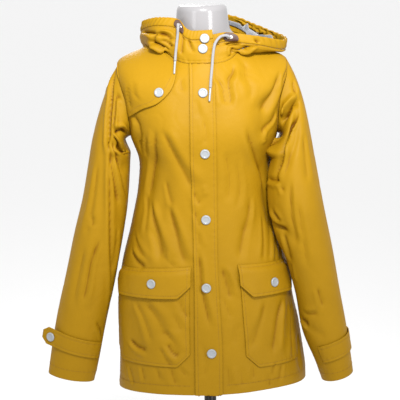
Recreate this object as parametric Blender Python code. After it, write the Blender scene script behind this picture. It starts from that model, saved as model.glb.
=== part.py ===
"""A hooded raincoat with a stand-up throat, storm flap and patch pockets, on a limbless dress form and stand.

Metres, +Z up. The stand's pole rises from the origin and the coat's front faces -Y. Right and left are the
wearer's, so the right side (side -1) lies at -X. Every cloth piece is a thin wall over one smooth face: the
coat is a stack of rings from hem to neck seam, a sleeve a stack of rings from armhole to cuff, and the hood a
fan of ribs that run from the neck seam, down over the shoulders and up to the rim. What lies on a piece is
made from the same face, lifted.
"""

import math
from collections import namedtuple

import bmesh
import bpy
import numpy as np
from mathutils import Matrix, Vector

# ---------------------------------------------------------------- sizes

CLOTH = 0.0016
LINING = 0.0010
GAP = 0.0003
LAY = 0.0011  # air under a piece that lies on another
LAYER = CLOTH + LAY
SEAM_RADIUS = 0.12  # about how far the long seams lie from the coat's axis
SEAM_ANGLE = 0.5 * GAP / SEAM_RADIUS  # half a seam's gap, as an angle round the coat

SNAP_RADIUS = 0.0095
SNAP_HEIGHT = 0.0034
SNAP_AIR = 0.0005
SNAP_PROFILE = [(0, 0), (1, 0), (0.95, 0.55), (0.6, 0.95), (0, 1)]  # shares of its radius and height
CORD_DIAMETER = 0.0055
CORD_POINT_SPACING = 0.013
TIP_DIAMETER = 0.0042
TIP_LENGTH = 0.027
PATCH_HALF_LENGTH = 0.0165
PATCH_HALF_WIDTH = 0.0085
EYELET_RADIUS = 0.0050
EYELET_HEIGHT = 0.0012
PATCH_STEPS = 8
PATCH_END = 0.97  # where the patch stops, as a share of its half length, so that its ends are blunt
CASING_WIDTH = 0.019  # the cord channel along the hood's rim
CASING_SWELL = 0.0010  # how far it stands out from the cloth on each face
CASING_PROFILE = (0.6, 1.0, 0.4)  # shares of that at its seam, its middle and the rim

NECK_RADIUS = 0.051
NECK_SEAT = 1.4835
NECK_TOP = 1.497
NECK_ROUND = [(0.0, 0.0095), (0.0030, 0.0035), (0.0095, 0.0006)]  # in from the side and down from the top
FORM_FLOOR = 0.862
POLE_RADIUS = 0.0125
SOCKET_RADIUS = 0.030
SOCKET_HEIGHT = 0.050
BASE_RADIUS = 0.170
BASE_THICKNESS = 0.010
FORM_INSET = 0.0085  # from the coat's outer face to the form, under the chest and back
SHOULDER_INSET = CLOTH + 0.0006  # the same on top of the shoulders, which carry the coat
CARRY_START, CARRY_RUN = 0.660, 0.015  # where the form comes up to the coat, on the scale of HEM to NECK
SOCKET_TAPER = 0.012
BASE_CHAMFER = 0.004

# How finely the pieces are divided
COLUMNS = 10  # in a quarter of the coat and of the neck seam
SKIRT_ROWS = 13
ARMHOLE_ROWS = 10
YOKE_ROWS = 3
CAP_ROWS = 6
ARM_ROWS = 13
RIB_STEPS = 9
GATHER_STATIONS = 38

# ---------------------------------------------------------------- tables

# Distance up the coat's side and over the shoulder, in metres
HEM, UNDERARM, SHOULDER, NECK = 0.0, 0.520, 0.675, 0.775

CoatRow = namedtuple(
    "CoatRow", "along side_z half_right half_left side_y front_z front_y back_z back_y fullness"
)
COAT = [
    CoatRow(HEM, 0.716, 0.1900, 0.1990, 0.004, 0.725, -0.143, 0.714, 0.150, 0.07),
    CoatRow(0.085, 0.800, 0.1870, 0.1880, 0.004, 0.806, -0.139, 0.800, 0.146, 0.07),
    CoatRow(0.185, 0.900, 0.1850, 0.1740, 0.000, 0.902, -0.135, 0.900, 0.138, 0.07),
    CoatRow(0.260, 0.975, 0.1740, 0.1620, 0.000, 0.976, -0.130, 0.975, 0.127, 0.06),
    CoatRow(0.345, 1.060, 0.1530, 0.1400, -0.002, 1.060, -0.124, 1.060, 0.110, 0.05),
    CoatRow(0.425, 1.140, 0.1360, 0.1290, -0.004, 1.138, -0.121, 1.140, 0.103, 0.05),
    CoatRow(0.475, 1.190, 0.1340, 0.1290, -0.006, 1.186, -0.123, 1.190, 0.107, 0.05),
    CoatRow(UNDERARM, 1.236, 0.1500, 0.1470, -0.006, 1.228, -0.125, 1.236, 0.113, 0.06),
    CoatRow(0.600, 1.315, 0.1660, 0.1640, -0.004, 1.290, -0.116, 1.315, 0.116, 0.08),
    CoatRow(SHOULDER, 1.386, 0.1680, 0.1680, -0.004, 1.336, -0.104, 1.373, 0.102, 0.09),
    CoatRow(0.725, 1.409, 0.1220, 0.1220, -0.002, 1.362, -0.096, 1.414, 0.082, 0.05),
    CoatRow(NECK, 1.430, 0.0850, 0.0850, 0.000, 1.386, -0.086, 1.441, 0.062, 0.02),
]
LEFT_HEM_RISE = 0.007  # how much higher the hem hangs at the left side
LEFT_HEM_RUN = 0.15
ARMHOLE_SWING = math.radians(24)  # how far the armhole cuts in from the side line
CALM = 0.03  # folds die away over this much of the cloth before a neck seam or an armhole

Bump = namedtuple("Bump", "x z reach_x reach_z height")
BUST = [Bump(-0.078, 1.262, 0.050, 0.060, 0.009), Bump(0.078, 1.262, 0.050, 0.060, 0.009)]

SleeveRow = namedtuple("SleeveRow", "down out fore z half_width half_depth tilt")
SLEEVE = {
    -1: [
        SleeveRow(0.000, 0.192, -0.004, 1.205, 0.041, 0.064, 10.0),
        SleeveRow(0.100, 0.206, -0.008, 1.102, 0.047, 0.063, 11.0),
        SleeveRow(0.185, 0.224, -0.012, 1.020, 0.050, 0.059, 12.0),
        SleeveRow(0.270, 0.243, -0.014, 0.936, 0.051, 0.053, 12.0),
        SleeveRow(0.355, 0.263, -0.014, 0.852, 0.051, 0.046, 12.0),
        SleeveRow(0.420, 0.277, -0.012, 0.788, 0.050, 0.041, 11.5),
        SleeveRow(0.475, 0.288, -0.010, 0.735, 0.048, 0.038, 11.0),
    ],
    1: [
        SleeveRow(0.000, 0.175, -0.044, 1.196, 0.044, 0.060, 8.0),
        SleeveRow(0.100, 0.183, -0.060, 1.100, 0.052, 0.060, 9.0),
        SleeveRow(0.190, 0.203, -0.062, 1.010, 0.049, 0.057, 10.0),
        SleeveRow(0.275, 0.221, -0.060, 0.926, 0.045, 0.053, 10.5),
        SleeveRow(0.360, 0.236, -0.054, 0.840, 0.045, 0.051, 11.0),
        SleeveRow(0.425, 0.253, -0.050, 0.776, 0.037, 0.050, 13.0),
        SleeveRow(0.475, 0.262, -0.048, 0.737, 0.033, 0.047, 14.0),
    ],
}
SLEEVE_END = 0.475
CAP = 0.150  # the sleeve's head, from the shoulder point down to the underarm's level
HEAD_LEAST = 0.080  # the least pull of the heading in which the cloth leaves the armhole
# That heading (out, back, up): over the shoulder and front, and at the underarm
CROWN_HEADING = (0.50, -0.15, -0.86)
UNDERARM_HEADING = (0.90, -0.15, -0.30)
HEAD_SPACING = 1.2  # above 1 crowds the head's rows towards the armhole
HEAD_GAP = 0.0008  # the gap at the armhole's seam, along the sleeve
SEAM_RUN = 0.020  # lifts turn from the coat's outward direction to the sleeve's own over this much

# Ribs of the hood. angle is degrees round the neck from the centre front to that side. Each rib is a curve
# from the neck seam through four points to the rim, given by distance from the neck's axis and height.
HoodRow = namedtuple("HoodRow", "angle over_r over_z near_r near_z low_r low_z far_r far_z rim_r rim_z")
HOOD = {
    -1: [
        HoodRow(-17, 0.0860, 1.397, 0.0835, 1.407, 0.0810, 1.417, 0.0780, 1.4265, 0.0715, 1.4520),
        HoodRow(0, 0.0850, 1.397, 0.0830, 1.407, 0.0805, 1.417, 0.0775, 1.4265, 0.0705, 1.4510),
        HoodRow(25, 0.0855, 1.399, 0.0845, 1.410, 0.0820, 1.420, 0.0785, 1.4290, 0.0710, 1.4540),
        HoodRow(42, 0.0880, 1.405, 0.0880, 1.418, 0.0850, 1.432, 0.0790, 1.4470, 0.0695, 1.4720),
        HoodRow(62, 0.0940, 1.415, 0.1040, 1.410, 0.1110, 1.422, 0.1080, 1.4450, 0.0900, 1.4770),
        HoodRow(90, 0.0960, 1.436, 0.1060, 1.425, 0.1160, 1.420, 0.1205, 1.4360, 0.1130, 1.4690),
        HoodRow(120, 0.0840, 1.450, 0.1090, 1.420, 0.1350, 1.403, 0.1450, 1.4200, 0.1330, 1.4550),
        HoodRow(135, 0.0815, 1.452, 0.1130, 1.407, 0.1420, 1.374, 0.1600, 1.3960, 0.1370, 1.4530),
        HoodRow(150, 0.0790, 1.454, 0.1180, 1.382, 0.1460, 1.312, 0.1680, 1.3720, 0.1400, 1.4580),
        HoodRow(180, 0.0760, 1.453, 0.1200, 1.350, 0.1490, 1.262, 0.1780, 1.3520, 0.1360, 1.4680),
        HoodRow(210, 0.0790, 1.454, 0.1180, 1.380, 0.1450, 1.302, 0.1690, 1.3720, 0.1420, 1.4630),
    ],
    1: [
        HoodRow(2, 0.0810, 1.396, 0.0780, 1.405, 0.0745, 1.413, 0.0705, 1.4200, 0.0640, 1.4400),
        HoodRow(20, 0.0810, 1.397, 0.0785, 1.406, 0.0750, 1.414, 0.0715, 1.4210, 0.0655, 1.4420),
        HoodRow(38, 0.0850, 1.401, 0.0860, 1.408, 0.0850, 1.415, 0.0820, 1.4220, 0.0760, 1.4450),
        HoodRow(62, 0.0920, 1.412, 0.1040, 1.404, 0.1160, 1.403, 0.1240, 1.4120, 0.1180, 1.4370),
        HoodRow(90, 0.0970, 1.435, 0.1220, 1.418, 0.1450, 1.406, 0.1630, 1.3990, 0.1665, 1.4230),
        HoodRow(105, 0.0920, 1.442, 0.1180, 1.425, 0.1460, 1.413, 0.1710, 1.4040, 0.1710, 1.4280),
        HoodRow(120, 0.0860, 1.449, 0.1120, 1.420, 0.1400, 1.402, 0.1680, 1.4070, 0.1620, 1.4360),
        HoodRow(135, 0.0820, 1.452, 0.1150, 1.407, 0.1430, 1.374, 0.1680, 1.3920, 0.1520, 1.4490),
        HoodRow(150, 0.0790, 1.454, 0.1180, 1.382, 0.1460, 1.312, 0.1690, 1.3720, 0.1420, 1.4630),
        HoodRow(180, 0.0760, 1.453, 0.1200, 1.350, 0.1490, 1.262, 0.1780, 1.3520, 0.1360, 1.4680),
        HoodRow(210, 0.0790, 1.454, 0.1180, 1.380, 0.1450, 1.302, 0.1680, 1.3720, 0.1400, 1.4580),
    ],
}
THROAT_END = {-1: -15.5, 1: 2.5}  # degrees; the right side laps over the left
THROAT_LAP = 0.0029
LAP_START, LAP_RUN = 8.0, 14.0  # degrees: the right side comes up off the left before it laps over it
LINING_START = 12.0
LINING_AIR = 0.0005
EYELET_ANGLE = {-1: 38.0, 1: 41.0}
CASING_RIB = 5 / 6  # where the casing starts along a rib
GATHERS = 13  # waves along each half of the casing
GATHER_DEPTH = 0.0008
PLAIN_UNTIL, PLAIN_RUN, BACK_RUN = 50, 20, 12  # degrees: flat by the eyelet and towards the back seam
RIB_SEAM = 0.0045  # the gap at the neck seam and half of it at the casing's seam, as a share of a rib

# A fold is a trough (depth below 0) or ridge along a line. On the coat, angles are degrees round from the
# centre front, positive to the wearer's left, and places are heights. On a sleeve, angles run 0 inner,
# 90 front, 180 outer and 270 back, and places are metres down from the underarm's level.
Fold = namedtuple("Fold", "angle_0 place_0 angle_1 place_1 width depth")
COAT_FOLDS = [
    Fold(-44, 1.235, -62, 1.060, 0.020, -0.0045),
    Fold(-30, 1.200, -44, 0.990, 0.022, -0.0040),
    Fold(-20, 1.110, -33, 0.995, 0.016, -0.0030),
    Fold(-9, 0.990, -11, 0.760, 0.014, -0.0030),
    Fold(40, 1.330, 52, 1.225, 0.026, -0.0055),
    Fold(60, 1.200, 68, 1.030, 0.018, -0.0045),
    Fold(38, 1.080, 26, 0.990, 0.016, -0.0030),
    Fold(44, 0.915, 34, 0.780, 0.018, -0.0040),
    Fold(66, 0.930, 60, 0.790, 0.018, -0.0040),
    Fold(-58, 0.900, -44, 0.790, 0.024, -0.0025),
    Fold(84, 0.900, 90, 0.700, 0.026, 0.0045),
    Fold(-84, 0.820, -88, 0.700, 0.020, -0.0040),
    Fold(-128, 1.200, -112, 1.020, 0.024, -0.0045),
    Fold(128, 1.210, 114, 1.010, 0.024, -0.0045),
    Fold(-150, 1.130, -138, 0.900, 0.028, -0.0050),
    Fold(158, 1.120, 140, 0.880, 0.028, -0.0050),
    Fold(176, 1.080, 172, 0.760, 0.026, -0.0040),
    Fold(-118, 0.940, -122, 0.700, 0.028, -0.0055),
    Fold(120, 0.930, 126, 0.700, 0.028, -0.0055),
]
SLEEVE_FOLDS = {
    -1: [
        Fold(128, -0.120, 66, 0.330, 0.012, -0.0040),
        Fold(100, -0.035, 20, -0.030, 0.013, -0.0080),
        Fold(98, -0.010, 20, 0.035, 0.011, -0.0060),
        Fold(60, 0.050, 40, 0.160, 0.012, -0.0035),
        Fold(250, -0.080, 290, 0.220, 0.018, -0.0060),
        Fold(215, 0.120, 250, 0.380, 0.016, -0.0040),
    ],
    1: [
        Fold(138, -0.098, 40, -0.030, 0.012, -0.0070),
        Fold(128, -0.085, 52, 0.040, 0.012, -0.0055),
        Fold(30, 0.120, 70, 0.180, 0.014, -0.0040),
        Fold(40, 0.345, 90, 0.370, 0.012, -0.0030),
        Fold(250, -0.080, 290, 0.220, 0.018, -0.0060),
        Fold(215, 0.120, 250, 0.380, 0.016, -0.0040),
    ],
}
COAT_METRES_PER_DEGREE = 0.0026
SLEEVE_METRES_PER_DEGREE = 0.0010

StormRow = namedtuple("StormRow", "z right_edge left_edge")
STORM_FLAP = [
    StormRow(0.720, -0.0300, 0.0240),
    StormRow(0.830, -0.0290, 0.0250),
    StormRow(0.920, -0.0275, 0.0215),
    StormRow(1.010, -0.0270, 0.0195),
    StormRow(1.100, -0.0275, 0.0205),
    StormRow(1.220, -0.0290, 0.0220),
    StormRow(1.390, -0.0270, 0.0225),
]
STORM_COLUMNS, STORM_ROWS = 4, 20
STORM_HEM_RISE = 0.008  # its first row is taken this much above the hem, and then set down on it
STORM_TOP_GAP = 0.0015
STORM_SNAPS = [(-0.0017, 1.330), (-0.0004, 1.213), (-0.0013, 1.080), (-0.0033, 0.944), (0.0040, 0.811)]

# Throat snaps: degrees round the right half of the throat, and how far up its rib
THROAT_SNAPS = [(-3.0, 0.855), (0.0, 0.470)]

# Lower edge of the chest flap, from the neck seam to the armhole
FlapPoint = namedtuple("FlapPoint", "x z")
CHEST_EDGE = [
    FlapPoint(-0.0525, 1.388),
    FlapPoint(-0.0530, 1.366),
    FlapPoint(-0.0640, 1.336),
    FlapPoint(-0.0900, 1.311),
    FlapPoint(-0.1200, 1.299),
    FlapPoint(-0.1470, 1.281),
]
CHEST_SNAP = FlapPoint(-0.087, 1.331)
CHEST_STEPS = (10, 8)
CHEST_AIR = 0.0005
CHEST_TOP_GAP, CHEST_SHOULDER_GAP = 0.008, 0.002  # from the neck seam and past the shoulder point
CHEST_SEAM_TURN, CHEST_ARMHOLE_TURN = 0.020, 0.030  # radians short of the shoulder seam and the armhole

# rise is how much higher a pocket's top is at its inner end than at its outer end
Pocket = namedtuple("Pocket", "inner outer flap_top flap_bottom top bottom rise snap_angle snap_z air")
POCKETS = {
    -1: Pocket(11.5, 76.0, 0.971, 0.917, 0.956, 0.782, 0.015, 35.5, 0.950, 0.0006),
    1: Pocket(21.5, 74.0, 0.981, 0.919, 0.966, 0.776, 0.006, 47.0, 0.944, 0.0002),
}
CORNER = 0.020  # width of the cut corners of the pockets and their flaps
FLAP_LEVEL = 0.4  # the rise of a flap's lower edge, as a share of the pocket's rise
POCKET_SWELL = 0.0022
POCKET_PULL = 0.22  # the swell comes down to the side seams over this share of the pocket's width
POCKET_SAG = 0.25  # and to the bottom seam over this share of its height
POCKET_RADIUS = 0.15  # about how far the pockets lie from the coat's axis
CORNER_SLANT = 1.25  # height of a cut corner over its width
FLAP_OVERHANG = 0.015  # how far a flap passes its pocket at each side, as a share of the pocket's width
FLAP_RISE = 0.0020
FLAP_SEWN = 0.0003  # how much closer than its pocket a flap lies along its seam
POCKET_STEPS = (8, 6)
FLAP_STEPS = (8, 4)

Tab = namedtuple("Tab", "start leave free_length down width snap_back")
TABS = {
    -1: Tab(18.0, 126.0, 0.048, 0.405, 0.036, 0.021),
    1: Tab(54.0, 216.0, 0.030, 0.405, 0.036, 0.013),
}
TAB_TILT = 0.00009  # metres down for each degree round
TAB_TIP = 0.012  # length of its blunt point
TAB_POINT = 0.55  # how much the point narrows
TAB_LIFT = 0.0020
TAB_SEWN = 0.0006

FormRow = namedtuple("FormRow", "z half side_y front_y back_y fullness")
FORM = [
    FormRow(FORM_FLOOR, 0.132, 0.004, -0.086, 0.096, 0.04),
    FormRow(0.874, 0.147, 0.004, -0.099, 0.109, 0.04),
    FormRow(0.930, 0.154, 0.002, -0.106, 0.114, 0.04),
    FormRow(1.000, 0.141, 0.000, -0.100, 0.102, 0.04),
    FormRow(1.085, 0.114, -0.002, -0.090, 0.080, 0.03),
    FormRow(1.160, 0.112, -0.004, -0.098, 0.084, 0.03),
    FormRow(1.215, 0.124, -0.005, -0.108, 0.094, 0.04),
]
FORM_CHEST_ROWS = 3
# Rings between the neck seam and the top of the form's neck: how far up, and how far in
NECK_RINGS = [(0.12, 0.45), (0.38, 0.86), (1.0, 1.0)]

Route = namedtuple("Route", "x y z")
CORD_ROUTES = {
    -1: [
        Route(-0.0466, -0.0639, 1.4612),
        Route(-0.0476, -0.0680, 1.4625),
        Route(-0.0482, -0.0722, 1.4560),
        Route(-0.0490, -0.0715, 1.4430),
        Route(-0.0508, -0.0712, 1.4300),
        Route(-0.0525, -0.0725, 1.4180),
        Route(-0.0540, -0.0740, 1.4050),
        Route(-0.0552, -0.0803, 1.3925),
    ],
    1: [
        Route(0.0538, -0.0697, 1.4361),
        Route(0.0530, -0.0738, 1.4372),
        Route(0.0500, -0.0758, 1.4390),
        Route(0.0440, -0.0750, 1.4400),
        Route(0.0350, -0.0750, 1.4375),
        Route(0.0290, -0.0775, 1.4320),
        Route(0.0240, -0.0818, 1.4240),
        Route(0.0212, -0.0848, 1.4130),
        Route(0.0195, -0.0870, 1.4020),
        Route(0.0175, -0.0930, 1.3820),
        Route(0.0150, -0.1022, 1.3620),
        Route(0.0130, -0.1096, 1.3410),
    ],
}

YELLOW = (0.86, 0.50, 0.02)
GREY_LINING = (0.30, 0.31, 0.35)
WHITE_PLASTIC = (0.85, 0.85, 0.85)
WHITE_CORD = (0.80, 0.79, 0.80)
BROWN = (0.16, 0.07, 0.04)
STEEL = (0.75, 0.75, 0.76)
FORM_WHITE = (0.78, 0.77, 0.76)
BLACK = (0.03, 0.03, 0.03)

# ---------------------------------------------------------------- curves and faces


def columns_of(table, at, overrun=0.01):
    """A table's columns after the first, read from smooth curves at the first column's values `at`."""
    rows = np.array(table, float)
    keys, values = rows[:, 0], rows[:, 1:]
    at = np.clip(np.asarray(at, float), keys[0] - overrun, keys[-1] + overrun)
    slopes = np.gradient(values, keys, axis=0)
    i = np.clip(np.searchsorted(keys, at) - 1, 0, len(keys) - 2)
    step = (keys[i + 1] - keys[i])[..., None]
    t = (at - keys[i])[..., None] / step
    from_start = (2 * t**3 - 3 * t**2 + 1) * values[i] + (t**3 - 2 * t**2 + t) * step * slopes[i]
    from_end = (3 * t**2 - 2 * t**3) * values[i + 1] + (t**3 - t**2) * step * slopes[i + 1]
    return np.moveaxis(from_start + from_end, -1, 0)


def smooth_step(t):
    t = np.clip(t, 0.0, 1.0)
    return t * t * (3 - 2 * t)


def unit(vectors):
    return vectors / np.maximum(np.linalg.norm(vectors, axis=-1, keepdims=True), 1e-12)


def outward(face, first, second, sign=1, steps=(0.004, 0.0012)):
    """Outward directions of a face, from its slopes along its two parameters."""
    a, b = steps
    along_first = face(first + a, second) - face(first - a, second)
    along_second = face(first, second + b) - face(first, second - b)
    return sign * unit(np.cross(along_first, along_second))


def relief(folds, angle, place, metres_per_degree):
    """How far the folds push a face out, in metres, at these angles (degrees) and places."""
    out = np.zeros(np.broadcast(angle, place).shape)
    for fold in folds:
        turn = (angle - fold.angle_0 + 180) % 360 - 180
        dx, dz = turn * metres_per_degree, place - fold.place_0
        run_x = (fold.angle_1 - fold.angle_0) * metres_per_degree
        run_z = fold.place_1 - fold.place_0
        t = np.clip((dx * run_x + dz * run_z) / (run_x**2 + run_z**2), 0.0, 1.0)
        distance = np.hypot(dx - t * run_x, dz - t * run_z)
        fade = smooth_step(t / 0.3) * smooth_step((1 - t) / 0.3)
        out += fold.depth * fade * np.exp(-((distance / fold.width) ** 2))
    return out


def oval(phi, half, side_y, end_y, fullness):
    """x and y of a ring's points: a rounded oval through its side and its front or back."""
    s, c = np.sin(phi), np.abs(np.cos(phi))
    return half * s * (1 + fullness * c * c), side_y + (end_y - side_y) * c * (1 + fullness * s * s)


def coat_base(phi, along):
    """The coat's outer face with no folds. phi is radians round from the centre front."""
    side_z, right, left, side_y, front_z, front_y, back_z, back_y, fullness = columns_of(COAT, along)
    front = np.cos(phi) >= 0
    half = np.where(np.sin(phi) < 0, right, left)
    x, y = oval(phi, half, side_y, np.where(front, front_y, back_y), fullness)
    z = side_z + (np.where(front, front_z, back_z) - side_z) * (1 - np.sin(phi) ** 4)
    z = z + LEFT_HEM_RISE * smooth_step(np.sin(phi)) * smooth_step(1 - along / LEFT_HEM_RUN)
    for bump in BUST:
        swell = np.exp(-(((x - bump.x) / bump.reach_x) ** 2) - ((z - bump.z) / bump.reach_z) ** 2)
        y = y - bump.height * swell * smooth_step(np.cos(phi) * 3)
    return np.stack([x, y, z], axis=-1)


def coat_face(phi, along):
    base = coat_base(phi, along)
    rise = relief(COAT_FOLDS, np.degrees(phi), base[..., 2], COAT_METRES_PER_DEGREE)
    rise = rise * smooth_step((NECK - along) / CALM)
    return base + outward(coat_base, phi, along) * rise[..., None]


def coat(phi, along, lift=0.0):
    """Points on the coat's outer face, lifted off it."""
    phi, along, lift = np.broadcast_arrays(phi, along, lift)
    return coat_face(phi, along) + outward(coat_face, phi, along) * lift[..., None]


def place_on_coat(x, z):
    """(phi, along) of the points on the coat's front that have this x and height."""
    x, z = np.broadcast_arrays(np.asarray(x, float), np.asarray(z, float))
    phi, along = np.zeros(x.shape), np.full(x.shape, 0.5)
    for _ in range(80):
        point = coat_base(phi, along)
        phi = np.clip(phi + 0.6 * (x - point[..., 0]) / (0.17 * np.cos(phi)), -1.4, 1.4)
        along = np.clip(along + 0.7 * (z - point[..., 2]), HEM, NECK)
    return phi, along


def along_at_height(phi, z):
    """How far along the coat lies the height z at the angle phi."""
    phi, z = np.broadcast_arrays(np.asarray(phi, float), np.asarray(z, float))
    along = np.full(phi.shape, 0.4)
    for _ in range(60):
        along = np.clip(along + 0.8 * (z - coat_base(phi, along)[..., 2]), HEM, NECK)
    return along


def armhole(side, turn):
    """(phi, along) of the armhole's edge. turn is 0 at the underarm, pi/2 in front and pi at the shoulder."""
    along = (UNDERARM + SHOULDER) / 2 - (SHOULDER - UNDERARM) / 2 * np.cos(turn)
    return side * (math.pi / 2 - ARMHOLE_SWING * np.sin(turn)), along


def arm_ring(side, turn, down):
    """Points of the sleeve below the underarm's level, with no folds."""
    out, fore, z, half_width, half_depth, tilt = columns_of(SLEEVE[side], down)
    tilt = np.radians(tilt)
    across = -half_width * np.cos(turn)
    x = out + across * np.cos(tilt)
    return np.stack([side * x, fore - half_depth * np.sin(turn), z + across * np.sin(tilt)], axis=-1)


def sleeve_base(side, turn, down):
    """The sleeve's outer face with no folds. down is -CAP at the armhole and 0 at the underarm's level."""
    turn, down = np.broadcast_arrays(turn, down)
    start = coat_face(*armhole(side, turn))
    end = arm_ring(side, turn, np.zeros(turn.shape))
    chord = np.linalg.norm(end - start, axis=-1, keepdims=True)
    under = ((1 + np.cos(turn[..., None])) / 2) ** 2
    heading = np.array(CROWN_HEADING) + (np.array(UNDERARM_HEADING) - CROWN_HEADING) * under
    heading = heading * np.stack([np.full(turn.shape, side), np.sin(turn), np.ones(turn.shape)], axis=-1)
    leave = unit(heading) * np.maximum(chord, HEAD_LEAST)
    arrive = unit(arm_ring(side, turn, np.full(turn.shape, 0.02)) - end) * chord
    t = np.clip(1 + down / CAP, 0.0, 1.0)[..., None]
    head = (2 * t**3 - 3 * t**2 + 1) * start + (t**3 - 2 * t**2 + t) * leave
    head = head + (3 * t**2 - 2 * t**3) * end + (t**3 - t**2) * arrive
    return np.where((down < 0)[..., None], head, arm_ring(side, turn, np.maximum(down, 0.0)))


def sleeve_face(side, turn, down):
    rise = relief(SLEEVE_FOLDS[side], np.degrees(turn), down, SLEEVE_METRES_PER_DEGREE)
    calm = smooth_step((down + CAP) / CALM)
    out = outward(lambda a, b: sleeve_base(side, a, b), turn, down, -side)
    return sleeve_base(side, turn, down) + out * (rise * calm)[..., None]


def sleeve(side, turn, down, lift=0.0):
    """Points on the sleeve's outer face, lifted off it. At the armhole it is lifted along with the coat."""
    turn, down, lift = np.broadcast_arrays(turn, down, lift)
    free = outward(lambda a, b: sleeve_face(side, a, b), turn, down, -side)
    seam = outward(coat_face, *armhole(side, turn))
    share = smooth_step((down + CAP) / SEAM_RUN)[..., None]
    return sleeve_face(side, turn, down) + unit(seam * (1 - share) + free * share) * lift[..., None]


def hood_face(side, angle, rib):
    """The hood's outer face. angle is degrees round the neck, and rib runs from 0 at the neck seam to 1."""
    angle, rib = np.broadcast_arrays(np.asarray(angle, float), np.asarray(rib, float))
    phi = np.radians(side * angle)
    lap = THROAT_LAP * smooth_step((LAP_START - angle) / LAP_RUN) if side < 0 else np.zeros(angle.shape)
    knots = [coat(phi, np.full(phi.shape, NECK), lap)]
    row = columns_of(HOOD[side], angle)
    for r, z in zip(row[0::2], row[1::2]):
        knots.append(np.stack([r * np.sin(phi), -r * np.cos(phi), z], axis=-1))
    rim, far = knots[-1], knots[-2]
    knots.insert(-1, rim + unit(far - rim) * CASING_WIDTH)
    last = len(knots) - 1
    knots = np.stack([2 * knots[0] - knots[1], *knots, 2 * knots[-1] - knots[-2]])
    place = np.clip(rib * last, 0, last)
    i = np.minimum(place.astype(int), last - 1)
    t = (place - i)[..., None]

    def knot(j):
        return np.take_along_axis(knots, np.broadcast_to(j[..., None], knots.shape[1:])[None], axis=0)[0]

    p0, p1, p2, p3 = knot(i), knot(i + 1), knot(i + 2), knot(i + 3)
    curve = 2 * p1 + (p2 - p0) * t + (2 * p0 - 5 * p1 + 4 * p2 - p3) * t**2
    return (curve + (3 * p1 - p0 - 3 * p2 + p3) * t**3) / 2


def hood(side, angle, rib, lift=0.0):
    """Points on the hood's outer face, lifted off it."""
    angle, rib, lift = np.broadcast_arrays(angle, rib, lift)
    rib_inside = np.clip(rib, 0.002, 0.998)
    out = outward(lambda a, b: hood_face(side, a, b), angle, rib_inside, side, (0.4, 0.0015))
    return hood_face(side, angle, rib) + out * lift[..., None]


# ---------------------------------------------------------------- solids


def material(name, color, roughness, metallic=0.0):
    found = bpy.data.materials.get(name)
    if found:
        return found
    made = bpy.data.materials.new(name)
    made.use_nodes = True
    shader = made.node_tree.nodes["Principled BSDF"]
    shader.inputs["Base Color"].default_value = (*color, 1.0)
    shader.inputs["Roughness"].default_value = roughness
    shader.inputs["Metallic"].default_value = metallic
    return made


def yellow_cloth():
    return material("coated_yellow_cloth", YELLOW, 0.45)


def keep(name, bm, made_of):
    """Turns a bmesh into the object of that name."""
    bmesh.ops.recalc_face_normals(bm, faces=bm.faces)
    if bm.calc_volume(signed=True) < 0:
        bmesh.ops.reverse_faces(bm, faces=bm.faces)
    mesh = bpy.data.meshes.new(name)
    bm.to_mesh(mesh)
    bm.free()
    mesh.materials.append(made_of)
    mesh.shade_smooth()
    mesh.set_sharp_from_angle(angle=math.radians(40))
    piece = bpy.data.objects.new(name, mesh)
    bpy.context.scene.collection.objects.link(piece)
    return piece


def wall(name, outer, inner, made_of, tube=False):
    """A closed wall between two grids of points, (rows, columns, 3). A tube's last column is its first."""
    rows, columns = outer.shape[:2]
    bm = bmesh.new()
    bmesh.ops.create_grid(bm, x_segments=columns - 1, y_segments=rows - 1, size=1.0)
    place = bm.verts.layers.int.new("place")
    bm.verts.ensure_lookup_table()
    outer_points, inner_points = outer.reshape(-1, 3), inner.reshape(-1, 3)
    for i, vert in enumerate(bm.verts):
        vert[place] = i
        vert.co = Vector(outer_points[i])
    if tube:
        ends = [v for v in bm.verts if v[place] % columns in (0, columns - 1)]
        bmesh.ops.remove_doubles(bm, verts=ends, dist=1e-6)
    bmesh.ops.triangulate(bm, faces=bm.faces[:], quad_method="FIXED")
    made = bmesh.ops.extrude_face_region(bm, geom=bm.faces[:])
    for vert in made["geom"]:
        if isinstance(vert, bmesh.types.BMVert):
            vert.co = Vector(inner_points[vert[place]])
    return keep(name, bm, made_of)


def turned(name, profile, segments, made_of, matrix=None):
    """A body turned round its own Z axis from (radius, height) points that start and end on the axis."""
    bm = bmesh.new()
    verts = [bm.verts.new((radius, 0.0, height)) for radius, height in profile]
    edges = [bm.edges.new(pair) for pair in zip(verts, verts[1:])]
    axis = Vector((0, 0, 1))
    bmesh.ops.spin(
        bm, geom=verts + edges, cent=(0, 0, 0), axis=axis, angle=math.tau, steps=segments, use_merge=True
    )
    bmesh.ops.remove_doubles(bm, verts=bm.verts[:], dist=1e-6)
    bmesh.ops.transform(bm, matrix=matrix or Matrix.Identity(4), verts=bm.verts[:])
    return keep(name, bm, made_of)


def seat(point, normal, across=(1.0, 0.0, 0.0)):
    """A matrix that stands +Z on a face at this point, with +X as near as it can be to `across`."""
    z = Vector(normal).normalized()
    x = (Vector(across) - z * Vector(across).dot(z)).normalized()
    turn = Matrix((x, z.cross(x), z)).transposed().to_4x4()
    return Matrix.Translation(Vector(point)) @ turn


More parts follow.
